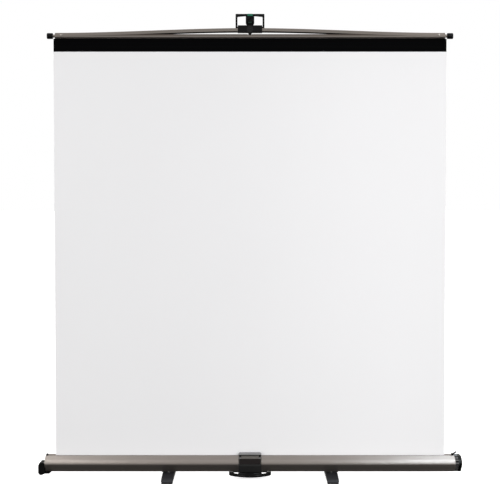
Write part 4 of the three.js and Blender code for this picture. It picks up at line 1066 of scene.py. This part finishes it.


# The lever's strip is spun round the collar from the pin
def makeClampLever(stage, wide, body):
    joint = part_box(f"mast_{wide}_tube")[1].z
    skin = mastRadii[wide] + seatGap + mast["skin"]
    inner = skin + mast["leverStandoff"]
    outer = inner + mast["leverThickness"]
    half = mast["leverHeight"] / 2
    section = [Vector((x, mastLine, joint + z)) for x, z in
               ((inner, -half), (outer, -half), (outer, half), (inner, half))]
    piece = drawLine(f"{stage}ClampLever", section)
    bpy.ops.mesh.edge_face_add()
    centre = Vector((0, mastLine, joint))
    bpy.ops.mesh.spin(steps=mast["leverSteps"], angle=-mast["leverSweep"], center=centre, axis=zAxis)
    closeUp(piece)
    soften(piece, mast["leverEdge"], 3, 40)
    pin = skin + mast["earReach"] / 2
    eye = addRod("eye", mast["earWidth"] / 2 - seatGap, (pin, mastLine, joint - half),
                 (pin, mastLine, joint + half))
    softenEnds(eye, zAxis, mast["edge"])
    weld(piece, eye)
    bore = mast["pinRadius"] + seatGap
    cutAway(piece, addRod("bore", bore, (pin, mastLine, joint - 2 * half), (pin, mastLine, joint + 2 * half)))
    finishPiece(piece, body, "charcoal_plastic", f"{stage}_clamp_lever")


def makeClampPin(stage, body):
    low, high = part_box(f"{stage}_clamp_pin")
    centre, radius = (low + high) / 2, mast["pinRadius"]
    tall, edge = (high.z - low.z) / 2, mast["pinEdge"]
    profile = [(0, -tall), (radius - edge, -tall), (radius, edge - tall), (radius, tall - edge),
               (radius - edge, tall), (0, tall)]
    piece = addTurned(f"{stage}ClampPin", profile, centre, zAxis, smallSides)
    finishPiece(piece, body, "bright_metal", f"{stage}_clamp_pin")


mastSocket = {
    "corner": 8 * mm, "edge": 1 * mm, "clear": 0.3 * mm, "panelBorder": 7 * mm, "panelDepth": 1.2 * mm,
}


def makeMastSocket():
    low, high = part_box("mast_socket")
    piece = addBox("mastSocket", low, high)
    bevelEdges(piece, lambda middle, direction: abs(direction.z) > 0.9 and middle.y > mastLine,
               mastSocket["corner"], 8)
    softenEnds(piece, zAxis, mastSocket["edge"])
    for outward in (xAxis, -xAxis):
        sinkFaces(piece, lambda middle, normal: normal.dot(outward) > 0.99, mastSocket["panelBorder"],
                  mastSocket["panelDepth"], outward)
    bore = addRod("bore", mastRadii["base"] + mastSocket["clear"], (0, mastLine, low.z - overrun),
                  (0, mastLine, high.z + overrun), roundSides)
    height = knobHeight()
    stud = addRod("stud", socketKnob["stud"] + seatGap, (0, mastLine, height), (0, high.y + overrun, height))
    cutAway(piece, bore, stud)
    finishPiece(piece, "root", "black_plastic", "mast_socket")


socketKnob = {
    "stud": 4 * mm, "lobes": 6, "lobeSteps": 10, "lobeShare": 0.8, "edge": 1.8 * mm,
    "border": 5 * mm, "sink": 1.5 * mm, "grip": 15 * mm,
}


def knobHeight():
    low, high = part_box("socket_knob")
    return (low.z + high.z) / 2


def makeSocketKnob():
    low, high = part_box("socket_knob")
    radius = (high.x - low.x) / 2
    height = knobHeight()
    steps = socketKnob["lobes"] * socketKnob["lobeSteps"]
    swing = (1 - socketKnob["lobeShare"]) / 2
    back = high.y - socketKnob["grip"]
    points = []
    for step in range(steps):
        angle = step / steps * 2 * pi
        reach = radius * (1 - swing + swing * cos(socketKnob["lobes"] * angle))
        points.append(Vector((cos(angle) * reach, back, height + sin(angle) * reach)))
    piece = addPrism("socketKnob", points, yAxis * socketKnob["grip"])
    softenEnds(piece, yAxis, socketKnob["edge"], 4)
    sinkFaces(piece, lambda middle, normal: normal.y > 0.99, socketKnob["border"], socketKnob["sink"], yAxis)
    weld(piece, addRod("stud", socketKnob["stud"], (0, low.y, height),
                       (0, high.y - socketKnob["grip"] / 2, height)))
    finishPiece(piece, "socket_knob", "black_plastic", "socket_knob", angle=40)


makeMastTube("base", "root")
makeMastTube("middle", "mast_middle")
makeMastTube("top", "mast_top")
for clampStage, wideStage, narrowStage, carrier in (
    ("lower", "base", "middle", "root"), ("upper", "middle", "top", "mast_middle"),
):
    makeCollar(clampStage, wideStage, narrowStage, carrier)
    makeClampLever(clampStage, wideStage, f"{clampStage}_clamp_lever")
    makeClampPin(clampStage, carrier)
makeMastSocket()
makeSocketKnob()
print("mast made")


# The slat and the bow over it

slat = {
    "endInset": 7 * mm, "radius": 4 * mm, "chamfer": 5.5 * mm, "edge": 0.8 * mm,
    "grooveHalf": 1.2 * mm, "grooveDepth": 6 * mm, "neckRadius": 7 * mm, "neckRoot": 0.2 * mm,
    # The line tone is a painted shade for the lengthwise groove.
    "lineDrop": 1.2 * mm, "lineWidth": 6 * mm, "lineDepth": 1.5 * mm, "lineShadeTone": (0.15, 0.125, 0.11),
    "notchHalf": 9 * mm, "notchDepth": 4.5 * mm,
}


def makeSlat():
    low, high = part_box("slat")
    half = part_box("fabric_band")[1].x - slat["endInset"]
    piece = addBox("slatBar", (-half, low.y, low.z), (half, high.y, high.z))
    bevelEdges(piece, lambda middle, direction: abs(direction.x) > 0.9 and middle.z > low.z + near,
               slat["radius"], 8)
    bevelEdges(piece, lambda middle, direction: abs(direction.x) > 0.9 and middle.z < low.z + near,
               slat["chamfer"], 1)
    soften(piece, slat["edge"], 2, 40)
    lineHigh, lineBack = high.z - slat["lineDrop"], low.y + slat["lineDepth"]
    lineLow = lineHigh - slat["lineWidth"]
    line = addBox("line", (-half - overrun, low.y - overrun, lineLow), (half + overrun, lineBack, lineHigh))
    cutAway(piece, line)
    groove = addBox("groove", (-half - overrun, -slat["grooveHalf"], low.z - overrun),
                    (half + overrun, slat["grooveHalf"], low.z + slat["grooveDepth"]))
    cutAway(piece, groove)
    piece.data.materials.append(finishes["slat_metal"])
    # Painted shade: the faces of the lengthwise groove take a darker metal, for the shade inside it.
    facePaint(piece, metalFinish("slatLineShade", slat["lineShadeTone"], slatGrain), lambda middle, normal:
              middle.z > lineLow - near and low.y + near < middle.y < lineBack + near)
    notch = addBox("notch", (-slat["notchHalf"], low.y - overrun, high.z - slat["notchDepth"]),
                   (slat["notchHalf"], high.y + overrun, high.z + overrun))
    cutAway(piece, notch)
    capLow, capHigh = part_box("left_slat_cap")
    centre = (capLow.z + capHigh.z) / 2
    for side in (-1, 1):
        weld(piece, addRod("neck", slat["neckRadius"], (side * (half - slat["neckRoot"]), 0, centre),
                           (side * high.x, 0, centre), 40))
    finishPiece(piece, "mast_top", "slat_metal", "slat")


slatCap = {"round": 3.5 * mm, "rings": 5, "groove": 0.8 * mm, "grooveAt": 7 * mm}


def makeSlatCap(side):
    node = f"{side}_slat_cap"
    low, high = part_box(node)
    centre = (low + high) / 2
    axis = -xAxis if side == "left" else xAxis
    half, radius, bend = (high.x - low.x) / 2, (high.z - low.z) / 2, slatCap["round"]
    turns = [ring / slatCap["rings"] * pi / 2 for ring in range(slatCap["rings"] + 1)]
    inner = [(radius - bend + bend * sin(turn), -half + bend - bend * cos(turn)) for turn in turns]
    outer = [(radius - bend + bend * cos(turn), half - bend + bend * sin(turn)) for turn in turns]
    cut, at = slatCap["groove"], slatCap["grooveAt"] - half
    groove = [(radius, at - cut), (radius - cut, at - cut / 2),
              (radius - cut, at + cut / 2), (radius, at + cut)]
    profile = [(0, -half), *inner, *groove, *outer, (0, half)]
    piece = addTurned(f"{side}SlatCap", profile, centre, axis)
    finishPiece(piece, "mast_top", "black_plastic", node)


bow = {
    "rise": 22 * mm, "flange": 14 * mm, "thickness": 1.5 * mm, "stations": 64, "edge": 0.9 * mm,
    # The inside tone is a painted shade for the channel's inner faces.
    "backDrop": 3 * mm, "insideShadeTone": (0.01, 0.007, 0.006), "rivetShank": 3 * mm, "rivetRings": 6,
}


def bowLift(x, half):
    run = 1 - abs(x) / half
    return bow["rise"] * run * run * (3 - 2 * run)


# A long box without its underside, raised station by station, then given its wall
def makeBow():
    low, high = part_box("bow")
    half = high.x
    topAtEnd = high.z - bow["rise"]
    piece = addBox("bowChannel", (-half, low.y, topAtEnd - bow["flange"]), (half, high.y, topAtEnd))
    bevelEdges(piece, lambda middle, direction: abs(direction.x) > 0.9 and middle.z > topAtEnd - near,
               bow["edge"], 3)
    deleteFaces(piece, lambda middle, normal: normal.z < -0.9 or abs(normal.x) > 0.9)
    for station in range(1, bow["stations"]):
        splitAcross(piece, (-half + 2 * half * station / bow["stations"], 0, 0), xAxis)
    for vertex in piece.data.vertices:
        lift = bowLift(vertex.co.x, half)
        if vertex.co.y > near and vertex.co.z < topAtEnd - bow["flange"] + near:
            lift -= bow["backDrop"] * lift / bow["rise"]
        vertex.co.z += lift
    piece.data.materials.append(finishes["slat_metal"])
    # Painted shade: the solidified wall's inner faces take a near-black metal, for the shade inside the
    # channel.
    piece.data.materials.append(metalFinish("bowInsideShade", bow["insideShadeTone"]))
    applyModifier(piece, "SOLIDIFY", thickness=bow["thickness"], offset=-1, use_even_offset=True,
                  material_offset=1, material_offset_rim=0)
    finishPiece(piece, "mast_top", "slat_metal", "bow")


def makeBowRivet(side):
    node = f"{side}_bow_rivet"
    low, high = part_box(node)
    centre = (low + high) / 2
    head, face = (high.x - low.x) / 2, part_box("bow")[1].y + seatGap
    top, shank, rings = high.y, bow["rivetShank"], bow["rivetRings"]
    turns = [ring / rings * pi / 2 for ring in range(rings + 1)]
    dome = [(head * cos(turn), face + (top - face) * sin(turn)) for turn in turns] + [(0, top)]
    mirrored = [(radius, -along) for radius, along in reversed(dome)]
    profile = mirrored + [(shank, -face), (shank, face)] + dome
    piece = addTurned(f"{side}BowRivet", profile, (centre.x, 0, centre.z), yAxis, smallSides)
    finishPiece(piece, "mast_top", "slat_metal", node)


makeSlat()
makeBow()
for capSide in ("left", "right"):
    makeSlatCap(capSide)
    makeBowRivet(capSide)
print("slat and bow made")


# The hanger block, its bolt, and the bail

hangerBlock = {
    "radius": 3 * mm, "edge": 0.8 * mm, "stubRadius": 3 * mm, "stubDepth": 8 * mm, "boltRadius": 4 * mm,
}


def bailStubs():
    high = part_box("hanger_block")[1]
    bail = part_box("bail")
    return Vector((high.x, (bail[0].y + bail[1].y) / 2, (bail[0].z + high.z) / 2))


def makeHangerBlock():
    low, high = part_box("hanger_block")
    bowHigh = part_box("bow")[1]
    piece = addBox("hangerBlock", low, high)
    bevelEdges(piece, lambda middle, direction: abs(direction.x) > 0.9, hangerBlock["radius"], 6)
    softenEnds(piece, xAxis, hangerBlock["edge"], 3)
    across = bowHigh.y + seatGap
    sag = bow["rise"] - bowLift(high.x, bowHigh.x)
    tunnel = addBox("tunnel", (low.x - overrun, -across, bowHigh.z - bow["flange"] - seatGap - sag),
                    (high.x + overrun, across, bowHigh.z + seatGap))
    stub = bailStubs()
    bore = hangerBlock["stubRadius"] + seatGap
    stubs = [addRod("stub", bore, (side * (stub.x - hangerBlock["stubDepth"]), stub.y, stub.z),
                    (side * (stub.x + overrun), stub.y, stub.z)) for side in (-1, 1)]
    boltBore = addRod("boltBore", hangerBlock["boltRadius"] + seatGap, (0, low.y - overrun, boltHeight()),
                      (0, high.y + overrun, boltHeight()))
    cutAway(piece, tunnel, boltBore, *stubs)
    finishPiece(piece, "mast_top", "charcoal_plastic", "hanger_block")


def boltHeight():
    low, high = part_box("hanger_bolt")
    return (low.z + high.z) / 2


hangerBolt = {
    "boss": 1.4 * mm, "edge": 0.5 * mm, "dish": 0.5 * mm, "dishRadius": 11 * mm,
    "socket": 3.2 * mm, "socketDepth": 3 * mm, "tone": (0.007, 0.007, 0.008),
}


def makeHangerBolt():
    low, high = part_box("hanger_bolt")
    radius = (high.x - low.x) / 2
    shank, edge, boss = hangerBlock["boltRadius"], hangerBolt["edge"], hangerBolt["boss"]
    dish, rim = hangerBolt["dish"], hangerBolt["dishRadius"]
    length = high.y - low.y
    profile = [(0, dish), (rim - edge, dish), (rim, 0), (radius - edge, 0), (radius, edge), (radius, boss),
               (shank, boss), (shank, length - edge), (shank - edge, length), (0, length)]
    piece = addTurned("hangerBolt", profile, (0, low.y, boltHeight()), yAxis)
    socket = addRod("socket", hangerBolt["socket"], (0, low.y - overrun, boltHeight()),
                    (0, low.y + hangerBolt["socketDepth"], boltHeight()), 6)
    cutAway(piece, socket)
    piece.data.materials.append(plasticFinish("boltPlastic", hangerBolt["tone"], 0.4, 0.15, 0.2))
    finishPiece(piece, "mast_top", "charcoal_plastic", "hanger_bolt")


bailSizes = {
    "leg": 8.7 * mm, "grip": 13 * mm, "relief": 3 * mm, "flatHalf": 24 * mm, "corner": 3 * mm,
    "edge": 0.5 * mm, "stubRoot": 2 * mm,
}


def makeBail():
    low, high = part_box("bail")
    inner = high.x - bailSizes["leg"]
    under = high.z - bailSizes["grip"]
    flat, relief = bailSizes["flatHalf"], under + bailSizes["relief"]
    spots = [
        (-high.x, low.z), (-inner, low.z), (-inner, under), (-flat, relief), (flat, relief),
        (inner, under), (inner, low.z), (high.x, low.z), (high.x, high.z), (-high.x, high.z),
    ]
    corners = [Vector((x, low.y, z)) for x, z in spots]
    piece = addPrism("bailLoop", corners, yAxis * (high.y - low.y))
    for corner in (2, 5, 8, 9):
        bevelEdges(piece, alongLine(corners[corner], yAxis), bailSizes["corner"], 5)
    soften(piece, bailSizes["edge"], 3, 40)
    stub = bailStubs()
    root, tip = inner + bailSizes["stubRoot"], stub.x - hangerBlock["stubDepth"] + seatGap
    for side in (-1, 1):
        weld(piece, addRod("stub", hangerBlock["stubRadius"], (side * root, stub.y, stub.z),
                           (side * tip, stub.y, stub.z)))
    finishPiece(piece, "mast_top", "black_plastic", "bail")


# The mast's hook head, its cover and the green latch

hookHead = {
    "foot": 14 * mm, "taper": 10 * mm, "stopHalf": 12 * mm, "stopFront": 13.3 * mm,
    "faceBack": 20 * mm, "faceDrop": 41.9 * mm, "armHalf": 10 * mm, "armDrop": 8 * mm, "boss": 14 * mm,
    "cap": 12 * mm, "edge": 0.6 * mm, "channelHalf": 12.3 * mm, "channelBack": 3 * mm,
    "armRoot": 4 * mm, "armInset": 1 * mm, "armEdge": 2 * mm, "bossEdge": 1.5 * mm, "stopInset": 0.1 * mm,
}


def makeHookHead():
    low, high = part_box("hook_head")
    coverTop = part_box("head_cover")[1].z
    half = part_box("head_cover")[1].x
    base = coverTop - hookHead["faceDrop"]
    spots = [
        (-half, coverTop), (-half, base + hookHead["taper"]), (-hookHead["foot"], base),
        (hookHead["foot"], base), (half, base + hookHead["taper"]), (half, coverTop),
    ]
    piece = addPrism("hookHead", [Vector((x, low.y, z)) for x, z in spots],
                     yAxis * (hookHead["faceBack"] - low.y))
    soften(piece, hookHead["edge"], 3)
    stop = addBox("stop", (-hookHead["stopHalf"], hookHead["stopFront"], base + hookHead["taper"]),
                  (hookHead["stopHalf"], hookHead["faceBack"] - hookHead["stopInset"], high.z))
    soften(stop, hookHead["edge"], 3)
    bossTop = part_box("mast_top_tube")[1].z + hookHead["cap"]
    armFront, inset = hookHead["faceBack"] - hookHead["armRoot"], hookHead["armInset"]
    armLow = low.z + hookHead["armDrop"]
    bossFront = mastLine - hookHead["boss"]
    armSpots = [
        (armFront, base + inset), (bossFront, armLow), (mastLine, armLow), (mastLine, bossTop - inset),
        (bossFront, bossTop - inset), (armFront, coverTop - inset),
    ]
    arm = addPrism("arm", [Vector((-hookHead["armHalf"], y, z)) for y, z in armSpots],
                   xAxis * 2 * hookHead["armHalf"])
    soften(arm, hookHead["armEdge"], 4)
    boss = addRod("boss", hookHead["boss"], (0, mastLine, low.z), (0, mastLine, bossTop), 48)
    softenEnds(boss, zAxis, hookHead["bossEdge"], 4)
    weld(piece, stop, arm, boss)
    bore = addRod("bore", mastRadii["top"] + seatGap, (0, mastLine, low.z - overrun),
                  (0, mastLine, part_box("mast_top_tube")[1].z + seatGap), 48)
    channel = addBox("channel", (-hookHead["channelHalf"], low.y - overrun, base - overrun),
                     (hookHead["channelHalf"], hookHead["channelBack"], coverTop + overrun))
    cutAway(piece, bore, channel)
    finishPiece(piece, "mast_top", "black_plastic", "hook_head")


headCover = {"corner": 1.5 * mm, "edge": 0.8 * mm, "border": 3 * mm, "sink": 0.5 * mm}


def makeHeadCover():
    low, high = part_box("head_cover")
    piece = addBox("headCover", low, high)
    bevelEdges(piece, lambda middle, direction: abs(direction.y) > 0.9, headCover["corner"], 4)
    softenEnds(piece, yAxis, headCover["edge"], 3)
    sinkFaces(piece, lambda middle, normal: normal.y < -0.99, headCover["border"], headCover["sink"], -yAxis)
    finishPiece(piece, "mast_top", "black_plastic", "head_cover")


hookLatch = {
    "stem": 8 * mm, "pad": 6.5 * mm, "padInset": 0.05 * mm, "thickness": 3.7 * mm, "edge": 0.6 * mm,
    "ribs": 3, "ribHeight": 0.9 * mm, "ribRise": 0.5 * mm, "ribInset": 1.5 * mm, "ribDepth": 1 * mm,
    # The pad tone is a painted shade for the thumb pad under the cover.
    "ribEdge": 0.25 * mm, "padShadeMargin": 1 * mm, "padShadeTone": (0.011, 0.027, 0.021),
}


def makeHookLatch():
    low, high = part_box("hook_latch")
    coverLow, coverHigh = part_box("head_cover")
    tongue = (coverLow.z + coverHigh.z) / 2
    front = high.y - hookLatch["thickness"]
    stem = hookLatch["stem"]
    spots = [
        (-stem, low.z), (stem, low.z), (stem, tongue), (high.x, tongue), (high.x, high.z),
        (low.x, high.z), (low.x, tongue), (-stem, tongue),
    ]
    piece = addPrism("hookLatch", [Vector((x, front, z)) for x, z in spots], yAxis * hookLatch["thickness"])
    soften(piece, hookLatch["edge"], 3)
    inset = hookLatch["padInset"]
    pad = addBox("pad", (-stem + inset, low.y + hookLatch["ribRise"], low.z + inset),
                 (stem - inset, front + hookLatch["thickness"] / 2, low.z + hookLatch["pad"]))
    weld(piece, soften(pad, hookLatch["edge"], 3))
    pitch = hookLatch["pad"] / (hookLatch["ribs"] + 1)
    reach, tall = stem - hookLatch["ribInset"], hookLatch["ribHeight"] / 2
    for rib in range(1, hookLatch["ribs"] + 1):
        middle = low.z + rib * pitch
        bar = addBox("rib", (-reach, low.y, middle - tall),
                     (reach, low.y + hookLatch["ribDepth"], middle + tall))
        weld(piece, soften(bar, hookLatch["ribEdge"], 2))
    piece.data.materials.append(finishes["green_plastic"])
    # Painted shade: the thumb pad and the faces just above it take a dark green, for the shade under the head
    # cover.
    facePaint(piece, plasticFinish("latchPadShade", hookLatch["padShadeTone"], 0.4, 0.2, 0.15),
              lambda middle, normal: middle.z < low.z + hookLatch["pad"] + hookLatch["padShadeMargin"])
    finishPiece(piece, "hook_latch", "green_plastic", "hook_latch")


makeHangerBlock()
makeHangerBolt()
makeBail()
makeHookHead()
makeHeadCover()
makeHookLatch()
print("hanger and hook made")


# The fabric: the white sheet, its black band, the stretch inside the case and what stays on the roller

fabric = {
    "thickness": 0.5 * mm, "columns": 90, "rows": 92, "ripple": 0.5 * mm, "curl": 0.6 * mm, "curlPower": 8,
    "waves": ((9, 2, 0, 0.6), (4, -5, 1, 0.4)), "tongueInset": 7.3 * mm, "entryDrop": 6 * mm,
    "rollClear": 0.3 * mm, "pitch": 0.6 * mm, "turnSteps": 40, "turns": 2,
}


def clothBack():
    material = finishes["black_fabric"].copy()
    material.name = "whiteFabricBack"
    return material


# A grid set upright, then given its thickness. Its faint ripple dies away at the top and the bottom.
# Each wave has its pace across and up, its start and its share of the ripple.
def makeScreenSheet():
    low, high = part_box("screen_fabric")
    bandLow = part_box("fabric_band")[0].z
    width, height = high.x - low.x, bandLow - caseHigh.z - seatGap
    deselectAll()
    bpy.ops.mesh.primitive_grid_add(
        x_subdivisions=fabric["columns"], y_subdivisions=fabric["rows"], size=1,
        location=(0, 0, caseHigh.z + height / 2), rotation=(pi / 2, 0, 0),
    )
    bpy.ops.transform.resize(value=(width, 1, height))
    piece = settle("screenSheet")
    for vertex in piece.data.vertices:
        x, z = vertex.co.x / width * 2, (vertex.co.z - caseHigh.z) / height
        held = sin(pi * min(max(z, 0), 1))
        wave = sum(sin(across * x + up * z + start) * share for across, up, start, share in fabric["waves"])
        vertex.co.y = (wave * fabric["ripple"] + x ** fabric["curlPower"] * fabric["curl"]) * held
    piece.data.materials.append(finishes["white_fabric"])
    piece.data.materials.append(clothBack())
    applyModifier(piece, "SOLIDIFY", thickness=fabric["thickness"], offset=0, material_offset=1,
                  material_offset_rim=0)
    finishPiece(piece, "root", "white_fabric", "screen_fabric")
    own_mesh(piece)


def makeFabricBand():
    low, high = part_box("fabric_band")
    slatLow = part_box("slat")[0].z
    tongue = high.x - fabric["tongueInset"]
    half = fabric["thickness"] / 2
    spots = [
        (low.x, low.z), (high.x, low.z), (high.x, slatLow - seatGap), (tongue, slatLow - seatGap),
        (tongue, high.z), (-tongue, high.z), (-tongue, slatLow - seatGap), (low.x, slatLow - seatGap),
    ]
    piece = addPrism("fabricBand", [Vector((x, -half, z)) for x, z in spots], yAxis * 2 * half)
    finishPiece(piece, "mast_top", "black_fabric", "fabric_band")


# From the case's mouth down the slot and on to the front of the roll
def makeInnerSheet():
    low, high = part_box("screen_fabric")
    rollLow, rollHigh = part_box("fabric_roll")
    centre = (rollLow + rollHigh) / 2
    reach = (rollHigh.z - rollLow.z) / 2 + seatGap + fabric["rollClear"]
    entry = Vector((low.x, 0, caseHigh.z - fabric["entryDrop"]))
    toCentre = Vector((0, centre.y - entry.y, centre.z - entry.z))
    run = sqrt(toCentre.length_squared - reach * reach)
    heading = atan2(toCentre.z, toCentre.y) - asin(reach / toCentre.length)
    touch = entry + Vector((0, cos(heading), sin(heading))) * run
    line = [Vector((low.x, 0, caseHigh.z)), entry, touch]
    piece = drawLine("innerSheet", line)
    push(xAxis * (high.x - low.x))
    leave()
    applyModifier(piece, "SOLIDIFY", thickness=fabric["thickness"], offset=0)
    finishPiece(closeUp(piece), "root", "black_fabric", "screen_fabric")


# The fabric left on the roller, wound in a spiral
def makeFabricRoll():
    low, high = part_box("fabric_roll")
    centre = (low + high) / 2
    outer = (high.z - low.z) / 2
    steps = fabric["turnSteps"] * fabric["turns"]

    def spiral(shift):
        points = []
        for step in range(steps + 1):
            angle = step / fabric["turnSteps"] * 2 * pi
            radius = outer - shift - fabric["pitch"] * step / fabric["turnSteps"]
            points.append(Vector((low.x, centre.y + cos(angle) * radius, centre.z + sin(angle) * radius)))
        return points
    piece = addPrism("fabricRoll", spiral(0) + spiral(fabric["thickness"])[::-1], xAxis * (high.x - low.x))
    finishPiece(piece, "roller", "black_fabric", "fabric_roll")


makeScreenSheet()
makeFabricBand()
makeInnerSheet()
makeFabricRoll()
print("fabric made")


# What stays hidden in the case and the mast keeps its own shape and gets its finish
hiddenPieces = {
    "roller_tube": "roller_metal", "roller_left_plug": "black_plastic", "roller_right_plug": "black_plastic",
    "left_roller_bearing": "charcoal_plastic", "shaft_anchor": "dark_metal", "spring_shaft": "bright_metal",
    "roller_spring": "dark_metal", "middle_bush": "black_plastic", "top_bush": "black_plastic",
}
for node, slotName in hiddenPieces.items():
    inside = frame["nodes"][node]
    inside.data.materials.clear()
    inside.data.materials.append(finishes[slotName])


# Floor, light and camera

studio = {
    "floorSize": 900, "floorTone": (0.93, 0.93, 0.93), "floorGlow": 0.75, "backdrop": 1.0,
    "sky": ((-1, 0.04), (-0.65, 0.115), (-0.2, 0.47), (0, 0.65), (1, 1.2)), "brightest": 1.2,
    "skyTone": (1, 0.99, 0.975),
}


def makeFloor():
    deselectAll()
    bpy.ops.mesh.primitive_plane_add(size=studio["floorSize"], location=(0, 0, 0))
    floor = settle("floor")
    material, add = newMaterial("floorPaint")
    mottle = noiseOn(add, 1.5, 2)
    surface(add, {
        "Base Color": tinted(add, mottle, shaded(studio["floorTone"], 0.985), studio["floorTone"]),
        "Roughness": 0.9, "Specular IOR Level": 0.1,
        "Emission Color": (1, 1, 1, 1), "Emission Strength": studio["floorGlow"],
    })
    floor.data.materials.append(material)
    floor.visible_glossy = False
    floor.visible_diffuse = False


# Plain white behind the object. What the object mirrors is bright above and at the sides, and dim below
def makeSurroundings():
    world = bpy.data.worlds.new("studio")
    bpy.context.scene.world = world
    add = nodesOf(world)
    direction = add("TexCoord", {}).outputs["Generated"]
    upward = add("SeparateXYZ", {"Vector": direction}).outputs["Z"]
    height = add("MapRange", {"Value": upward, "From Min": -1.0, "From Max": 1.0}).outputs["Result"]
    ramp = add("ValToRGB", {"Fac": height})
    stops = ramp.color_ramp.elements
    while len(stops) < len(studio["sky"]):
        stops.new(0.5)
    for stop, (place, level) in zip(stops, studio["sky"]):
        stop.position = (place + 1) / 2
        stop.color = (*shaded(studio["skyTone"], level / studio["brightest"]), 1)
    light = add("Background", {"Color": ramp.outputs["Color"], "Strength": studio["brightest"]})
    plain = add("Background", {"Color": (1, 1, 1, 1), "Strength": studio["backdrop"]})
    seen = add("LightPath", {}).outputs["Is Camera Ray"]
    mix = add("MixShader", {0: seen, 1: light.outputs["Background"], 2: plain.outputs["Background"]})
    add("OutputWorld", {"Surface": mix.outputs["Shader"]})


# Each lamp's place, target, size, power and tone. The strips and the noses only show in the case's metal
lamps = {
    "keyLamp": ((3.6, -4.2, 2.4), (0.4, 0, 0.9), (2.2, 2.8), 112, (1, 1, 1)),
    "fillLamp": ((-4.0, -3.8, 1.9), (-0.4, 0, 0.9), (2.0, 2.6), 76, (1, 1, 1)),
    "rightStrip": ((1.7, -0.65, 4.3), (0.9, 0, 0.1), (0.8, 0.8), 47, (0.86, 1, 1.12)),
    "leftStrip": ((-1.7, -0.65, 4.3), (-0.9, 0, 0.1), (0.8, 0.8), 15, (1, 1, 1)),
    "rightNose": ((1.4, -2.7, 2.5), (0.9, 0, 0.1), (0.8, 0.9), 25, (0.86, 1, 1.12)),
    "leftNose": ((-1.4, -2.7, 2.5), (-0.9, 0, 0.1), (0.8, 0.9), 9, (1, 1, 1)),
    "bandLamp": ((0.68, -0.9, 0.85), (0.68, 0, 0.85), (0.25, 2.4), 1.5, (1, 1, 1)),
}
mirroredLamps = ("rightStrip", "leftStrip", "rightNose", "leftNose")


def addLamp(name, place, target, size, power, tone):
    deselectAll()
    aim = (Vector(target) - Vector(place)).to_track_quat("-Z", "Y").to_euler()
    bpy.ops.object.light_add(type="AREA", location=place, rotation=aim)
    lamp = bpy.context.object
    lamp.name = name
    lamp.data.shape = "RECTANGLE"
    lamp.data.size, lamp.data.size_y = size
    lamp.data.energy = power
    lamp.data.color = tone
    lamp.visible_camera = False
    return lamp


view = {"distance": 5.5, "height": 1.25, "pitch": radians(2.0), "focal": 86.0, "sensor": 36}


def makeCamera():
    deselectAll()
    bpy.ops.object.camera_add(location=(0, -view["distance"], view["height"]),
                              rotation=(pi / 2 - view["pitch"], 0, 0))
    camera = bpy.context.object
    camera.data.lens = view["focal"]
    camera.data.sensor_width = view["sensor"]
    bpy.context.scene.camera = camera


makeFloor()
makeSurroundings()
litByMirrored = bpy.data.collections.new("litByMirrored")
for sceneMesh in bpy.data.objects:
    if sceneMesh.type == "MESH" and not sceneMesh.name.startswith(("slat", "bow", "hook", "hanger")):
        litByMirrored.objects.link(sceneMesh)
for lampName, lampSetting in lamps.items():
    newLamp = addLamp(lampName, *lampSetting)
    if lampName in mirroredLamps:
        newLamp.visible_diffuse = False
        newLamp.light_linking.receiver_collection = litByMirrored
    if lampName == "bandLamp":
        newLamp.visible_glossy = False
makeCamera()
bpy.context.scene.view_settings.view_transform = "Standard"
print("studio made")

deselectAll()
